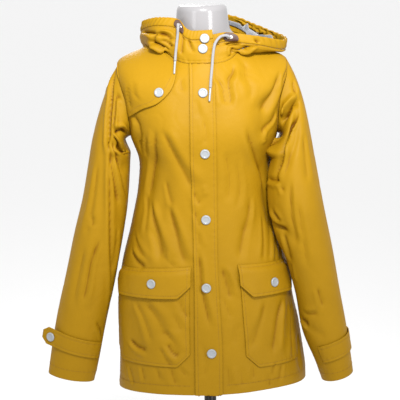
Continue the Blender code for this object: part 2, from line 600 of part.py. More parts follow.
def lofted(name, rings, made_of):
    """A closed body through rings of points, the first and last filled in."""
    count = len(rings[0])
    bm = bmesh.new()
    bmesh.ops.create_grid(bm, x_segments=count, y_segments=len(rings) - 1, size=1.0)
    bm.verts.ensure_lookup_table()
    closed = [point for ring in rings for point in [*ring, ring[0]]]
    for vert, point in zip(bm.verts, closed):
        vert.co = Vector(point)
    bmesh.ops.remove_doubles(bm, verts=bm.verts[:], dist=1e-6)
    bmesh.ops.triangulate(bm, faces=bm.faces[:])
    rims = [edge for edge in bm.edges if edge.is_boundary]
    bmesh.ops.holes_fill(bm, edges=rims, sides=0)
    return keep(name, bm, made_of)


def side_name(side):
    return "right" if side < 0 else "left"


# ---------------------------------------------------------------- coat


def coat_rows():
    """Rows of the coat's grid. Those of the armhole stand where the sleeve's points are."""
    skirt = list(np.linspace(HEM, UNDERARM, SKIRT_ROWS + 1))
    turns = np.linspace(0, math.pi, ARMHOLE_ROWS + 1)[1:]
    yoke = list(np.linspace(SHOULDER, NECK - GAP, YOKE_ROWS + 1))[1:]
    return skirt + list(armhole(1, turns)[1]) + yoke


def side_edge(along):
    """Angle in from the side seam where a panel ends: more than 0 only beside the armhole."""
    climb = (along - (UNDERARM + SHOULDER) / 2) / ((SHOULDER - UNDERARM) / 2)
    return ARMHOLE_SWING * np.sqrt(np.clip(1 - climb**2, 0.0, 1.0))


def panel(name, edges, columns):
    """A panel of the coat. edges gives the angles where it starts and ends at each row."""
    rows = np.array(coat_rows())[:, None]
    start, end = edges(rows)
    phi = start + (end - start) * np.linspace(0, 1, columns + 1)[None, :]
    wall(name, coat(phi, rows), coat(phi, rows, -CLOTH), yellow_cloth())


def build_panels():
    quarter = math.pi / 2
    for side in (-1, 1):

        def front(rows, side=side):
            middle = np.full(rows.shape, side * SEAM_ANGLE)
            return middle, side * (quarter - SEAM_ANGLE - side_edge(rows))

        panel(f"front_{side_name(side)}", front, COLUMNS)

    def back(rows):
        edge = quarter + SEAM_ANGLE + side_edge(rows)
        return edge, 2 * math.pi - edge

    panel("back", back, 2 * COLUMNS)


def build_sleeves():
    turns = np.linspace(0, 2 * math.pi, 2 * ARMHOLE_ROWS + 1)[None, :]
    head = -CAP * (1 - np.linspace(0, 1, CAP_ROWS + 1)[:-1] ** HEAD_SPACING)
    head[0] = -CAP + HEAD_GAP
    down = np.concatenate([head, np.linspace(0, SLEEVE_END, ARM_ROWS + 1)])[:, None]
    for side in (-1, 1):
        outer, inner = sleeve(side, turns, down), sleeve(side, turns, down, -CLOTH)
        outer[:, -1], inner[:, -1] = outer[:, 0], inner[:, 0]
        name = f"sleeve_{side_name(side)}"
        wall(name, outer, inner, yellow_cloth(), tube=True)


def build_tabs():
    """The cuff tabs: round the sleeve's front, then straight on past it to a blunt point."""
    for side in (-1, 1):
        tab = TABS[side]
        half = tab.width / 2
        facet = 180 / ARMHOLE_ROWS
        wrapped = np.arange(tab.start, tab.leave + 1, facet)
        lanes = np.array([-1.0, 0.0, 1.0])[:, None] * half
        middle = tab.down - (wrapped - tab.start)[None, :] * TAB_TILT
        grids = []
        bent = sleeve(side, np.radians(wrapped[-2:]), middle[0, -2:], TAB_LIFT)
        heading = unit(bent[1] - bent[0])
        rise = TAB_LIFT - (TAB_LIFT - TAB_SEWN) * np.clip(1 - (wrapped - tab.start) / facet, 0, 1)
        for lift in (rise + CLOTH, rise):
            grid = sleeve(side, np.radians(wrapped)[None, :], middle + lanes, lift[None, :])
            for step, narrowing in ((tab.free_length - TAB_TIP, 0.0), (tab.free_length, TAB_POINT)):
                end = grid[:, len(wrapped) - 1] + heading * step
                end = end + (end[1] - end) * narrowing
                grid = np.concatenate([grid, end[:, None]], axis=1)
            grids.append(grid)
        name = f"cuff_tab_{side_name(side)}"
        wall(name, grids[0], grids[1], yellow_cloth())
        tip = grids[0][1, -1]
        normal = -side * unit(np.cross(heading, grids[0][2, -2] - grids[0][0, -2]))
        snap(f"snap_cuff_{side_name(side)}", tip - heading * tab.snap_back, normal)


# ---------------------------------------------------------------- pieces that lie on the coat


def build_storm_flap():
    rows = np.linspace(STORM_FLAP[0].z + STORM_HEM_RISE, STORM_FLAP[-1].z, STORM_ROWS + 1)
    right_edge, left_edge = columns_of(STORM_FLAP, rows)
    x = right_edge[:, None] + (left_edge - right_edge)[:, None] * np.linspace(0, 1, STORM_COLUMNS + 1)
    phi, along = place_on_coat(x, rows[:, None])
    along = np.minimum(along, NECK - STORM_TOP_GAP)
    along[0] = HEM
    outer, inner = coat(phi, along, LAYER), coat(phi, along, LAY)
    wall("storm_flap", outer, inner, yellow_cloth())
    for i, (x, z) in enumerate(STORM_SNAPS):
        phi, along = place_on_coat(x, z)
        snap(f"snap_front_{i + 1}", coat(phi, along, LAYER), outward(coat_face, phi, along))


def build_chest_flap():
    """A flap that falls from the neck seam and shoulder over the right breast to a curved edge."""
    keys = np.linspace(0, 1, len(CHEST_EDGE))
    s, t = np.linspace(0, 1, CHEST_STEPS[0] + 1), np.linspace(0, 1, CHEST_STEPS[1] + 1)[:, None]
    edge = columns_of([(key, point.x, point.z) for key, point in zip(keys, CHEST_EDGE)], s)
    low_phi, low_along = place_on_coat(edge[0], edge[1])
    neck_end, shoulder_end = NECK - CHEST_TOP_GAP, SHOULDER + CHEST_SHOULDER_GAP
    low_along = np.minimum(low_along, neck_end)
    # its other three sides: the neck seam, the shoulder seam and the armhole
    shoulder_seam = -math.pi / 2 + CHEST_SEAM_TURN
    top_along = neck_end + (shoulder_end - neck_end) * s
    phi = low_phi + (shoulder_seam - low_phi) * t
    along = low_along + (top_along - low_along) * t
    beside_armhole = -(math.pi / 2 - side_edge(along)) + CHEST_ARMHOLE_TURN
    phi = np.where(along < SHOULDER, np.maximum(phi, beside_armhole), phi)
    outer, inner = coat(phi, along, LAYER + CHEST_AIR), coat(phi, along, LAY + CHEST_AIR)
    wall("chest_flap", outer, inner, yellow_cloth())
    phi, along = place_on_coat(CHEST_SNAP.x, CHEST_SNAP.z)
    snap("snap_chest", coat(phi, along, LAYER + CHEST_AIR), outward(coat_face, phi, along))


def hexagon(pocket, top, bottom, steps, bottom_rise=0.0):
    """Shares across and heights of a panel with its lower corners cut off, as grids."""
    width = math.radians(pocket.outer - pocket.inner) * POCKET_RADIUS
    cut = CORNER / width
    across = np.concatenate([[0.0], np.linspace(cut, 1 - cut, steps[0] - 1), [1.0]])[None, :]
    raised = CORNER * CORNER_SLANT * np.clip(1 - np.minimum(across, 1 - across) / cut, 0, 1)
    high = top + pocket.rise * (1 - across)
    low = bottom + raised + bottom_rise * (1 - across)
    down = np.linspace(0, 1, steps[1] + 1)[:, None]
    return across + 0 * down, high + (low - high) * down


def build_pockets():
    for side in (-1, 1):
        pocket = POCKETS[side]
        name = side_name(side)

        def angles(across, pocket=pocket, side=side):
            return side * np.radians(pocket.inner + (pocket.outer - pocket.inner) * across)

        def swell(across, z, pocket=pocket):
            top = pocket.top + pocket.rise * (1 - across)
            rise = np.clip((top - z) / (top - pocket.bottom), 0.0, 1.0)
            sides = smooth_step(np.minimum(across, 1 - across) / POCKET_PULL)
            return pocket.air + POCKET_SWELL * sides * smooth_step((1 - rise) / POCKET_SAG)

        across, z = hexagon(pocket, pocket.top, pocket.bottom, POCKET_STEPS)
        phi = angles(across)
        along, lift = along_at_height(phi, z), swell(across, z)
        outer, inner = coat(phi, along, LAYER + lift), coat(phi, along, LAY + lift)
        wall(f"pocket_{name}", outer, inner, yellow_cloth())

        bottom_rise = FLAP_LEVEL * pocket.rise
        across, z = hexagon(pocket, pocket.flap_top, pocket.flap_bottom, FLAP_STEPS, bottom_rise)
        phi = angles(across * (1 + 2 * FLAP_OVERHANG) - FLAP_OVERHANG)
        below = pocket.flap_top + pocket.rise * (1 - across) - z
        over = smooth_step(below / (pocket.flap_top - pocket.top))
        raised = swell(across, z) + LAYER + FLAP_RISE
        along, lift = along_at_height(phi, z), raised * over - FLAP_SEWN * (1 - over)
        outer, inner = coat(phi, along, LAYER + lift), coat(phi, along, LAY + lift)
        wall(f"pocket_flap_{name}", outer, inner, yellow_cloth())

        share = (pocket.snap_angle - pocket.inner) / (pocket.outer - pocket.inner)
        phi = np.array(angles(share))
        along = along_at_height(phi, pocket.snap_z)
        lift = swell(np.array(share), pocket.snap_z) + 2 * LAYER + FLAP_RISE
        snap(f"snap_pocket_{name}", coat(phi, along, lift), outward(coat_face, phi, along))


def snap(name, point, normal):
    """A press stud's domed cap, just clear of the cloth at this point."""
    profile = [(r * SNAP_RADIUS, h * SNAP_HEIGHT) for r, h in SNAP_PROFILE]
    foot = Vector(point) + Vector(normal).normalized() * SNAP_AIR
    turned(name, profile, 12, material("white_snap_plastic", WHITE_PLASTIC, 0.3), seat(foot, normal))


# ---------------------------------------------------------------- hood


def hood_angles(side, first):
    """Ribs of one half of the hood. Past the throat they stand where the coat's columns are."""
    step = 90 / COLUMNS
    regular = [k * step for k in range(-2, 2 * COLUMNS + 1) if k * step > first + 0.3 * step]
    angles = np.array([first, *regular])
    angles[-1] -= math.degrees(SEAM_ANGLE)
    return angles


def build_hood():
    for side in (-1, 1):
        name = side_name(side)
        angles = hood_angles(side, THROAT_END[side])[None, :]
        ribs = np.linspace(RIB_SEAM, CASING_RIB - RIB_SEAM, RIB_STEPS + 1)[:, None]
        outer, inner = hood(side, angles, ribs), hood(side, angles, ribs, -CLOTH)
        wall(f"hood_{name}", outer, inner, yellow_cloth())

        angles, ribs = angles[:, angles[0] > LINING_START], ribs[1:-1]
        near, far = -CLOTH - LINING_AIR, -CLOTH - LINING_AIR - LINING
        outer, inner = hood(side, angles, ribs, near), hood(side, angles, ribs, far)
        wall(f"hood_lining_{name}", outer, inner, material("grey_jersey", GREY_LINING, 0.95))

        end = 180 - math.degrees(SEAM_ANGLE)
        angles = np.linspace(THROAT_END[side], end, GATHER_STATIONS + 1)[None, :]
        ribs = np.array([CASING_RIB + RIB_SEAM, (1 + CASING_RIB) / 2, 1.0])[:, None]
        gathered = smooth_step((angles - PLAIN_UNTIL) / PLAIN_RUN) * smooth_step((end - angles) / BACK_RUN)
        wave = GATHER_DEPTH * gathered * np.sin(2 * GATHERS * np.radians(angles))
        full = CASING_SWELL * np.array(CASING_PROFILE)[:, None]
        outer = hood(side, angles, ribs, full + wave)
        inner = hood(side, angles, ribs, wave - CLOTH - full)
        wall(f"hood_casing_{name}", outer, inner, yellow_cloth())

    for i, (angle, rib) in enumerate(THROAT_SNAPS):
        lift = CASING_SWELL if rib > CASING_RIB else 0.0
        point = hood(-1, angle, rib, lift)
        base = hood(-1, angle, rib)
        snap(f"snap_throat_{i + 1}", point, hood(-1, angle, rib, 0.01) - base)


def build_eyelets():
    """An oval patch on each end of the cord's channel, with a ringed hole for the cord."""
    for side in (-1, 1):
        name, angle, rib = side_name(side), EYELET_ANGLE[side], (1 + CASING_RIB) / 2
        spread = np.linspace(-PATCH_END, PATCH_END, PATCH_STEPS + 1)[None, :]
        turn = math.degrees(PATCH_HALF_LENGTH / np.linalg.norm(hood(side, angle, rib)[:2]))
        height = PATCH_HALF_WIDTH / CASING_WIDTH * (1 - CASING_RIB)
        angles = angle + turn * spread
        ribs = rib + height * np.sqrt(1 - spread**2) * np.array([-1.0, 0.0, 1.0])[:, None]
        outer = hood(side, angles, ribs, CASING_SWELL + LAYER)
        inner = hood(side, angles, ribs, CASING_SWELL + LAY)
        wall(f"eyelet_patch_{name}", outer, inner, material("brown_leather", BROWN, 0.6))

        point = hood(side, angle, rib, CASING_SWELL + LAYER + 2 * GAP)
        normal = hood(side, angle, rib, 0.01) - hood(side, angle, rib)
        r, h = EYELET_RADIUS, EYELET_HEIGHT
        profile = [(0, 0), (r, 0), (0.9 * r, h), (0, h)]
        turned(f"eyelet_{name}", profile, 16, material("nickel", STEEL, 0.3, 1.0), seat(point, normal))


# ---------------------------------------------------------------- cords


def route_points(route, spacing):
    """Points at even spacing along a smooth curve through the route's own points."""
    points = np.array(route, float)
    reach = np.concatenate([[0], np.cumsum(np.linalg.norm(np.diff(points, axis=0), axis=1))])
    table = np.column_stack([reach, points])
    count = max(4, round(reach[-1] / spacing))
    return columns_of(table, np.linspace(0, reach[-1], count + 1)).T


def rod(name, points, diameter, made_of):
    """A round rod with filled ends along these points."""
    curve = bpy.data.curves.new(name, "CURVE")
    curve.dimensions = "3D"
    curve.bevel_depth = diameter / 2
    curve.bevel_resolution = 2
    curve.use_fill_caps = True
    spline = curve.splines.new("POLY")
    spline.points.add(len(points) - 1)
    for spot, point in zip(spline.points, points):
        spot.co = (*point, 1.0)
    curve.materials.append(made_of)
    piece = bpy.data.objects.new(name, curve)
    bpy.context.scene.collection.objects.link(piece)
    return piece


def build_cords():
    for side in (-1, 1):
        name = side_name(side)
        points = route_points(CORD_ROUTES[side], CORD_POINT_SPACING)
        rod(f"drawcord_{name}", points, CORD_DIAMETER, material("white_cord", WHITE_CORD, 0.9))
        heading = unit(points[-1] - points[-2])
        start = points[-1] + heading * 2 * GAP
        tip = [start, start + heading * TIP_LENGTH]
        rod(f"drawcord_tip_{name}", tip, TIP_DIAMETER, material("white_snap_plastic", WHITE_PLASTIC, 0.3))


# ---------------------------------------------------------------- dress form


def build_form():
    shell = material("form_shell", FORM_WHITE, 0.25)
    steel = material("black_steel", BLACK, 0.35, 0.6)
    count = 4 * COLUMNS
    phi = np.arange(count) * 2 * math.pi / count
    rings = []
    for row in FORM:
        end_y = np.where(np.cos(phi) >= 0, row.front_y, row.back_y)
        x, y = oval(phi, row.half, row.side_y, end_y, row.fullness)
        rings.append(np.stack([x, y, np.full(count, row.z)], axis=-1))
    chest = np.linspace(UNDERARM + 0.035, SHOULDER, FORM_CHEST_ROWS + 1)[:-1]
    yoke = np.linspace(SHOULDER, NECK - GAP, YOKE_ROWS + 1)
    for along in [*chest, *yoke]:
        side_on = np.abs(np.sin(phi)) ** 2
        carried = smooth_step((along - CARRY_START) / CARRY_RUN) * side_on
        deep = FORM_INSET + (SHOULDER_INSET - FORM_INSET) * carried
        rings.append(coat(phi, np.full(count, along), -deep))
    root = rings[-1]
    neck_x, neck_y = NECK_RADIUS * np.sin(phi), -NECK_RADIUS * np.cos(phi)
    neck = np.stack([neck_x, neck_y, np.full(count, NECK_SEAT)], axis=-1)
    for up, inward in NECK_RINGS:
        rings.append(root + (neck - root) * np.array([inward, inward, up]))
    lofted("form_torso", rings, shell)

    r, low = NECK_RADIUS, NECK_SEAT + GAP
    edge = [(r - inward, NECK_TOP - down) for inward, down in NECK_ROUND]
    cap = [(0, low), (r, low), *edge, (0, NECK_TOP)]
    turned("form_neck_cap", cap, count, shell)

    top, low = FORM_FLOOR - GAP, FORM_FLOOR - GAP - SOCKET_HEIGHT
    r = SOCKET_RADIUS
    socket = [(0, low), (r - SOCKET_TAPER / 2, low), (r, low + SOCKET_TAPER), (r, top), (0, top)]
    turned("pole_socket", socket, 24, steel)
    r, foot, head = POLE_RADIUS, BASE_THICKNESS + GAP, low - GAP
    turned("pole", [(0, foot), (r, foot), (r, head), (0, head)], 20, steel)
    r, h = BASE_RADIUS, BASE_THICKNESS
    base = [(0, 0), (r, 0), (r, h - BASE_CHAMFER), (r - BASE_CHAMFER, h), (0, h)]
    turned("stand_base", base, 48, steel)


def main():
    for old in list(bpy.data.objects):
        bpy.data.objects.remove(old)
    build_form()
    build_panels()
    build_sleeves()
    build_tabs()
    build_storm_flap()
    build_chest_flap()
    build_pockets()
    build_hood()
    build_eyelets()
    build_cords()


main()
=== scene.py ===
"""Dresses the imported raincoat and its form: creased cloth, stitching, snaps, cords and a glossy form.

Metres, +Z up. The stand's pole rises from the origin and the coat's front faces -Y. Right and left are the
wearer's, so the right side (side -1) lies at -X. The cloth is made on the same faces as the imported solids,
with the smaller creases, gathers and seams that the solids leave out.
"""

import math
from collections import namedtuple

import bmesh
import bpy
import numpy as np
from bpy.props import FloatProperty, FloatVectorProperty, PointerProperty
from mathutils import Matrix, Vector


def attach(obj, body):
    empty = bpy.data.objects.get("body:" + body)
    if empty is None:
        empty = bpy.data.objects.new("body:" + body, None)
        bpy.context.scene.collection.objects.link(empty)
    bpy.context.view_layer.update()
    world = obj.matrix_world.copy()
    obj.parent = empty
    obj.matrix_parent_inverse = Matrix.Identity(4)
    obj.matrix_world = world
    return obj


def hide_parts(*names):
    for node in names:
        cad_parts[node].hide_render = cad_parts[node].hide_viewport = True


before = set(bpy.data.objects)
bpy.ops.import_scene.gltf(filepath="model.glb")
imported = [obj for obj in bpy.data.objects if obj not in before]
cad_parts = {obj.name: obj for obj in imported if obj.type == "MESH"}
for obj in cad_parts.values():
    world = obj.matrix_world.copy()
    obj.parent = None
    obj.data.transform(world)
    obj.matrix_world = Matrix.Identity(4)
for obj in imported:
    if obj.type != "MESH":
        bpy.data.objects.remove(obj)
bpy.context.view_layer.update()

bl_info = {
    "name": "Hooded raincoat on dress form",
    "version": (1, 0, 0),
    "blender": (4, 5, 0),
    "location": "View3D > Sidebar > Raincoat",
    "description": "Makes the cloth, trimmings, dress form and studio of a hooded raincoat",
    "category": "Object",
}

BODY = "root"
COATED = "coated_yellow_cloth"

# ---------------------------------------------------------------- sizes shared with the solids

CLOTH = 0.0016
LINING = 0.0010
GAP = 0.0003
LAY = 0.0011  # air under a piece that lies on another
LAYER = CLOTH + LAY
SEAM_RADIUS = 0.12  # about how far the long seams lie from the coat's axis
SEAM_ANGLE = 0.5 * GAP / SEAM_RADIUS  # half a seam's gap, as an angle round the coat

SNAP_RADIUS = 0.0095
SNAP_HEIGHT = 0.0034
SNAP_AIR = 0.0005
CORD_DIAMETER = 0.0055
TIP_DIAMETER = 0.0042
TIP_LENGTH = 0.027
PATCH_HALF_LENGTH = 0.0165
PATCH_HALF_WIDTH = 0.0085
EYELET_RADIUS = 0.0050
CASING_WIDTH = 0.019  # the cord channel along the hood's rim

NECK_RADIUS = 0.051
NECK_SEAT = 1.4835
NECK_TOP = 1.497
FORM_FLOOR = 0.862
POLE_RADIUS = 0.0125
SOCKET_RADIUS = 0.030
SOCKET_HEIGHT = 0.050
BASE_RADIUS = 0.170
BASE_THICKNESS = 0.010
FORM_INSET = 0.0085  # from the coat's outer face to the form, under the chest and back
SHOULDER_INSET = CLOTH + 0.0006  # the same on top of the shoulders, which carry the coat
CARRY_START, CARRY_RUN = 0.660, 0.015  # where the form comes up to the coat, on the scale of HEM to NECK

# ---------------------------------------------------------------- tables

# Distance up the coat's side and over the shoulder, in metres
HEM, UNDERARM, SHOULDER, NECK = 0.0, 0.520, 0.675, 0.775

CoatRow = namedtuple(
    "CoatRow", "along side_z half_right half_left side_y front_z front_y back_z back_y fullness"
)
COAT = [
    CoatRow(HEM, 0.716, 0.1900, 0.1990, 0.004, 0.725, -0.143, 0.714, 0.150, 0.07),
    CoatRow(0.085, 0.800, 0.1870, 0.1880, 0.004, 0.806, -0.139, 0.800, 0.146, 0.07),
    CoatRow(0.185, 0.900, 0.1850, 0.1740, 0.000, 0.902, -0.135, 0.900, 0.138, 0.07),
    CoatRow(0.260, 0.975, 0.1740, 0.1620, 0.000, 0.976, -0.130, 0.975, 0.127, 0.06),
    CoatRow(0.345, 1.060, 0.1530, 0.1400, -0.002, 1.060, -0.124, 1.060, 0.110, 0.05),
    CoatRow(0.425, 1.140, 0.1360, 0.1290, -0.004, 1.138, -0.121, 1.140, 0.103, 0.05),
    CoatRow(0.475, 1.190, 0.1340, 0.1290, -0.006, 1.186, -0.123, 1.190, 0.107, 0.05),
    CoatRow(UNDERARM, 1.236, 0.1500, 0.1470, -0.006, 1.228, -0.125, 1.236, 0.113, 0.06),
    CoatRow(0.600, 1.315, 0.1660, 0.1640, -0.004, 1.290, -0.116, 1.315, 0.116, 0.08),
    CoatRow(SHOULDER, 1.386, 0.1680, 0.1680, -0.004, 1.336, -0.104, 1.373, 0.102, 0.09),
    CoatRow(0.725, 1.409, 0.1220, 0.1220, -0.002, 1.362, -0.096, 1.414, 0.082, 0.05),
    CoatRow(NECK, 1.430, 0.0850, 0.0850, 0.000, 1.386, -0.086, 1.441, 0.062, 0.02),
]
LEFT_HEM_RISE = 0.007  # how much higher the hem hangs at the left side
LEFT_HEM_RUN = 0.15
ARMHOLE_SWING = math.radians(24)  # how far the armhole cuts in from the side line
CALM = 0.03  # folds die away over this much of the cloth before a neck seam or an armhole

Bump = namedtuple("Bump", "x z reach_x reach_z height")
BUST = [Bump(-0.078, 1.262, 0.050, 0.060, 0.009), Bump(0.078, 1.262, 0.050, 0.060, 0.009)]

SleeveRow = namedtuple("SleeveRow", "down out fore z half_width half_depth tilt")
SLEEVE = {
    -1: [
        SleeveRow(0.000, 0.192, -0.004, 1.205, 0.041, 0.064, 10.0),
        SleeveRow(0.100, 0.206, -0.008, 1.102, 0.047, 0.063, 11.0),
        SleeveRow(0.185, 0.224, -0.012, 1.020, 0.050, 0.059, 12.0),
        SleeveRow(0.270, 0.243, -0.014, 0.936, 0.051, 0.053, 12.0),
        SleeveRow(0.355, 0.263, -0.014, 0.852, 0.051, 0.046, 12.0),
        SleeveRow(0.420, 0.277, -0.012, 0.788, 0.050, 0.041, 11.5),
        SleeveRow(0.475, 0.288, -0.010, 0.735, 0.048, 0.038, 11.0),
    ],
    1: [
        SleeveRow(0.000, 0.175, -0.044, 1.196, 0.044, 0.060, 8.0),
        SleeveRow(0.100, 0.183, -0.060, 1.100, 0.052, 0.060, 9.0),
        SleeveRow(0.190, 0.203, -0.062, 1.010, 0.049, 0.057, 10.0),
        SleeveRow(0.275, 0.221, -0.060, 0.926, 0.045, 0.053, 10.5),
        SleeveRow(0.360, 0.236, -0.054, 0.840, 0.045, 0.051, 11.0),
        SleeveRow(0.425, 0.253, -0.050, 0.776, 0.037, 0.050, 13.0),
        SleeveRow(0.475, 0.262, -0.048, 0.737, 0.033, 0.047, 14.0),
    ],
}
SLEEVE_END = 0.475
CAP = 0.150  # the sleeve's head, from the shoulder point down to the underarm's level
HEAD_LEAST = 0.080  # the least pull of the heading in which the cloth leaves the armhole
# That heading (out, back, up): over the shoulder and front, and at the underarm
CROWN_HEADING = (0.50, -0.15, -0.86)
UNDERARM_HEADING = (0.90, -0.15, -0.30)
HEAD_SPACING = 1.2  # above 1 crowds the head's rows towards the armhole
HEAD_GAP = 0.0008  # the gap at the armhole's seam, along the sleeve
SEAM_RUN = 0.020  # lifts turn from the coat's outward direction to the sleeve's own over this much

# Ribs of the hood. angle is degrees round the neck from the centre front to that side. Each rib is a curve
# from the neck seam through four points to the rim, given by distance from the neck's axis and height.
HoodRow = namedtuple("HoodRow", "angle over_r over_z near_r near_z low_r low_z far_r far_z rim_r rim_z")
HOOD = {
    -1: [
        HoodRow(-17, 0.0860, 1.397, 0.0835, 1.407, 0.0810, 1.417, 0.0780, 1.4265, 0.0715, 1.4520),
        HoodRow(0, 0.0850, 1.397, 0.0830, 1.407, 0.0805, 1.417, 0.0775, 1.4265, 0.0705, 1.4510),
        HoodRow(25, 0.0855, 1.399, 0.0845, 1.410, 0.0820, 1.420, 0.0785, 1.4290, 0.0710, 1.4540),
        HoodRow(42, 0.0880, 1.405, 0.0880, 1.418, 0.0850, 1.432, 0.0790, 1.4470, 0.0695, 1.4720),
        HoodRow(62, 0.0940, 1.415, 0.1040, 1.410, 0.1110, 1.422, 0.1080, 1.4450, 0.0900, 1.4770),
        HoodRow(90, 0.0960, 1.436, 0.1060, 1.425, 0.1160, 1.420, 0.1205, 1.4360, 0.1130, 1.4690),
        HoodRow(120, 0.0840, 1.450, 0.1090, 1.420, 0.1350, 1.403, 0.1450, 1.4200, 0.1330, 1.4550),
        HoodRow(135, 0.0815, 1.452, 0.1130, 1.407, 0.1420, 1.374, 0.1600, 1.3960, 0.1370, 1.4530),
        HoodRow(150, 0.0790, 1.454, 0.1180, 1.382, 0.1460, 1.312, 0.1680, 1.3720, 0.1400, 1.4580),
        HoodRow(180, 0.0760, 1.453, 0.1200, 1.350, 0.1490, 1.262, 0.1780, 1.3520, 0.1360, 1.4680),
        HoodRow(210, 0.0790, 1.454, 0.1180, 1.380, 0.1450, 1.302, 0.1690, 1.3720, 0.1420, 1.4630),
    ],
    1: [
        HoodRow(2, 0.0810, 1.396, 0.0780, 1.405, 0.0745, 1.413, 0.0705, 1.4200, 0.0640, 1.4400),
        HoodRow(20, 0.0810, 1.397, 0.0785, 1.406, 0.0750, 1.414, 0.0715, 1.4210, 0.0655, 1.4420),
        HoodRow(38, 0.0850, 1.401, 0.0860, 1.408, 0.0850, 1.415, 0.0820, 1.4220, 0.0760, 1.4450),
        HoodRow(62, 0.0920, 1.412, 0.1040, 1.404, 0.1160, 1.403, 0.1240, 1.4120, 0.1180, 1.4370),
        HoodRow(90, 0.0970, 1.435, 0.1220, 1.418, 0.1450, 1.406, 0.1630, 1.3990, 0.1665, 1.4230),
        HoodRow(105, 0.0920, 1.442, 0.1180, 1.425, 0.1460, 1.413, 0.1710, 1.4040, 0.1710, 1.4280),
        HoodRow(120, 0.0860, 1.449, 0.1120, 1.420, 0.1400, 1.402, 0.1680, 1.4070, 0.1620, 1.4360),
        HoodRow(135, 0.0820, 1.452, 0.1150, 1.407, 0.1430, 1.374, 0.1680, 1.3920, 0.1520, 1.4490),
        HoodRow(150, 0.0790, 1.454, 0.1180, 1.382, 0.1460, 1.312, 0.1690, 1.3720, 0.1420, 1.4630),
        HoodRow(180, 0.0760, 1.453, 0.1200, 1.350, 0.1490, 1.262, 0.1780, 1.3520, 0.1360, 1.4680),
        HoodRow(210, 0.0790, 1.454, 0.1180, 1.380, 0.1450, 1.302, 0.1680, 1.3720, 0.1400, 1.4580),
    ],
}
THROAT_END = {-1: -15.5, 1: 2.5}  # degrees; the right side laps over the left
THROAT_LAP = 0.0029
LAP_START, LAP_RUN = 8.0, 14.0  # degrees: the right side comes up off the left before it laps over it
LINING_START = 12.0
EYELET_ANGLE = {-1: 38.0, 1: 41.0}
CASING_RIB = 5 / 6  # where the casing starts along a rib
PLAIN_UNTIL, PLAIN_RUN, BACK_RUN = 50, 20, 12  # degrees: flat by the eyelet and towards the back seam
RIB_SEAM = 0.0045  # the gap at the neck seam and half of it at the casing's seam, as a share of a rib

# A fold is a trough (depth below 0) or ridge along a line. On the coat, angles are degrees round from the
# centre front, positive to the wearer's left, and places are heights. On a sleeve, angles run 0 inner,
# 90 front, 180 outer and 270 back, and places are metres down from the underarm's level.
Fold = namedtuple("Fold", "angle_0 place_0 angle_1 place_1 width depth")
COAT_FOLDS = [
    Fold(-44, 1.235, -62, 1.060, 0.020, -0.0045),
    Fold(-30, 1.200, -44, 0.990, 0.022, -0.0040),
    Fold(-20, 1.110, -33, 0.995, 0.016, -0.0030),
    Fold(-9, 0.990, -11, 0.760, 0.014, -0.0030),
    Fold(40, 1.330, 52, 1.225, 0.026, -0.0055),
    Fold(60, 1.200, 68, 1.030, 0.018, -0.0045),
    Fold(38, 1.080, 26, 0.990, 0.016, -0.0030),
    Fold(44, 0.915, 34, 0.780, 0.018, -0.0040),
    Fold(66, 0.930, 60, 0.790, 0.018, -0.0040),
    Fold(-58, 0.900, -44, 0.790, 0.024, -0.0025),
    Fold(84, 0.900, 90, 0.700, 0.026, 0.0045),
    Fold(-84, 0.820, -88, 0.700, 0.020, -0.0040),
    Fold(-128, 1.200, -112, 1.020, 0.024, -0.0045),
    Fold(128, 1.210, 114, 1.010, 0.024, -0.0045),
    Fold(-150, 1.130, -138, 0.900, 0.028, -0.0050),
    Fold(158, 1.120, 140, 0.880, 0.028, -0.0050),
    Fold(176, 1.080, 172, 0.760, 0.026, -0.0040),
    Fold(-118, 0.940, -122, 0.700, 0.028, -0.0055),
    Fold(120, 0.930, 126, 0.700, 0.028, -0.0055),
]
SLEEVE_FOLDS = {
    -1: [
        Fold(128, -0.120, 66, 0.330, 0.012, -0.0040),
        Fold(100, -0.035, 20, -0.030, 0.013, -0.0080),
        Fold(98, -0.010, 20, 0.035, 0.011, -0.0060),
        Fold(60, 0.050, 40, 0.160, 0.012, -0.0035),
        Fold(250, -0.080, 290, 0.220, 0.018, -0.0060),
        Fold(215, 0.120, 250, 0.380, 0.016, -0.0040),
    ],
    1: [
        Fold(138, -0.098, 40, -0.030, 0.012, -0.0070),
        Fold(128, -0.085, 52, 0.040, 0.012, -0.0055),
        Fold(30, 0.120, 70, 0.180, 0.014, -0.0040),
        Fold(40, 0.345, 90, 0.370, 0.012, -0.0030),
        Fold(250, -0.080, 290, 0.220, 0.018, -0.0060),
        Fold(215, 0.120, 250, 0.380, 0.016, -0.0040),
    ],
}
COAT_METRES_PER_DEGREE = 0.0026
SLEEVE_METRES_PER_DEGREE = 0.0010

StormRow = namedtuple("StormRow", "z right_edge left_edge")
STORM_FLAP = [
    StormRow(0.720, -0.0300, 0.0240),
    StormRow(0.830, -0.0290, 0.0250),
    StormRow(0.920, -0.0275, 0.0215),
    StormRow(1.010, -0.0270, 0.0195),
    StormRow(1.100, -0.0275, 0.0205),
    StormRow(1.220, -0.0290, 0.0220),
    StormRow(1.390, -0.0270, 0.0225),
]
STORM_TOP_GAP = 0.0015
STORM_SNAPS = [(-0.0017, 1.330), (-0.0004, 1.213), (-0.0013, 1.080), (-0.0033, 0.944), (0.0040, 0.811)]

# Throat snaps: degrees round the right half of the throat, and how far up its rib
THROAT_SNAPS = [(-3.0, 0.855), (0.0, 0.470)]

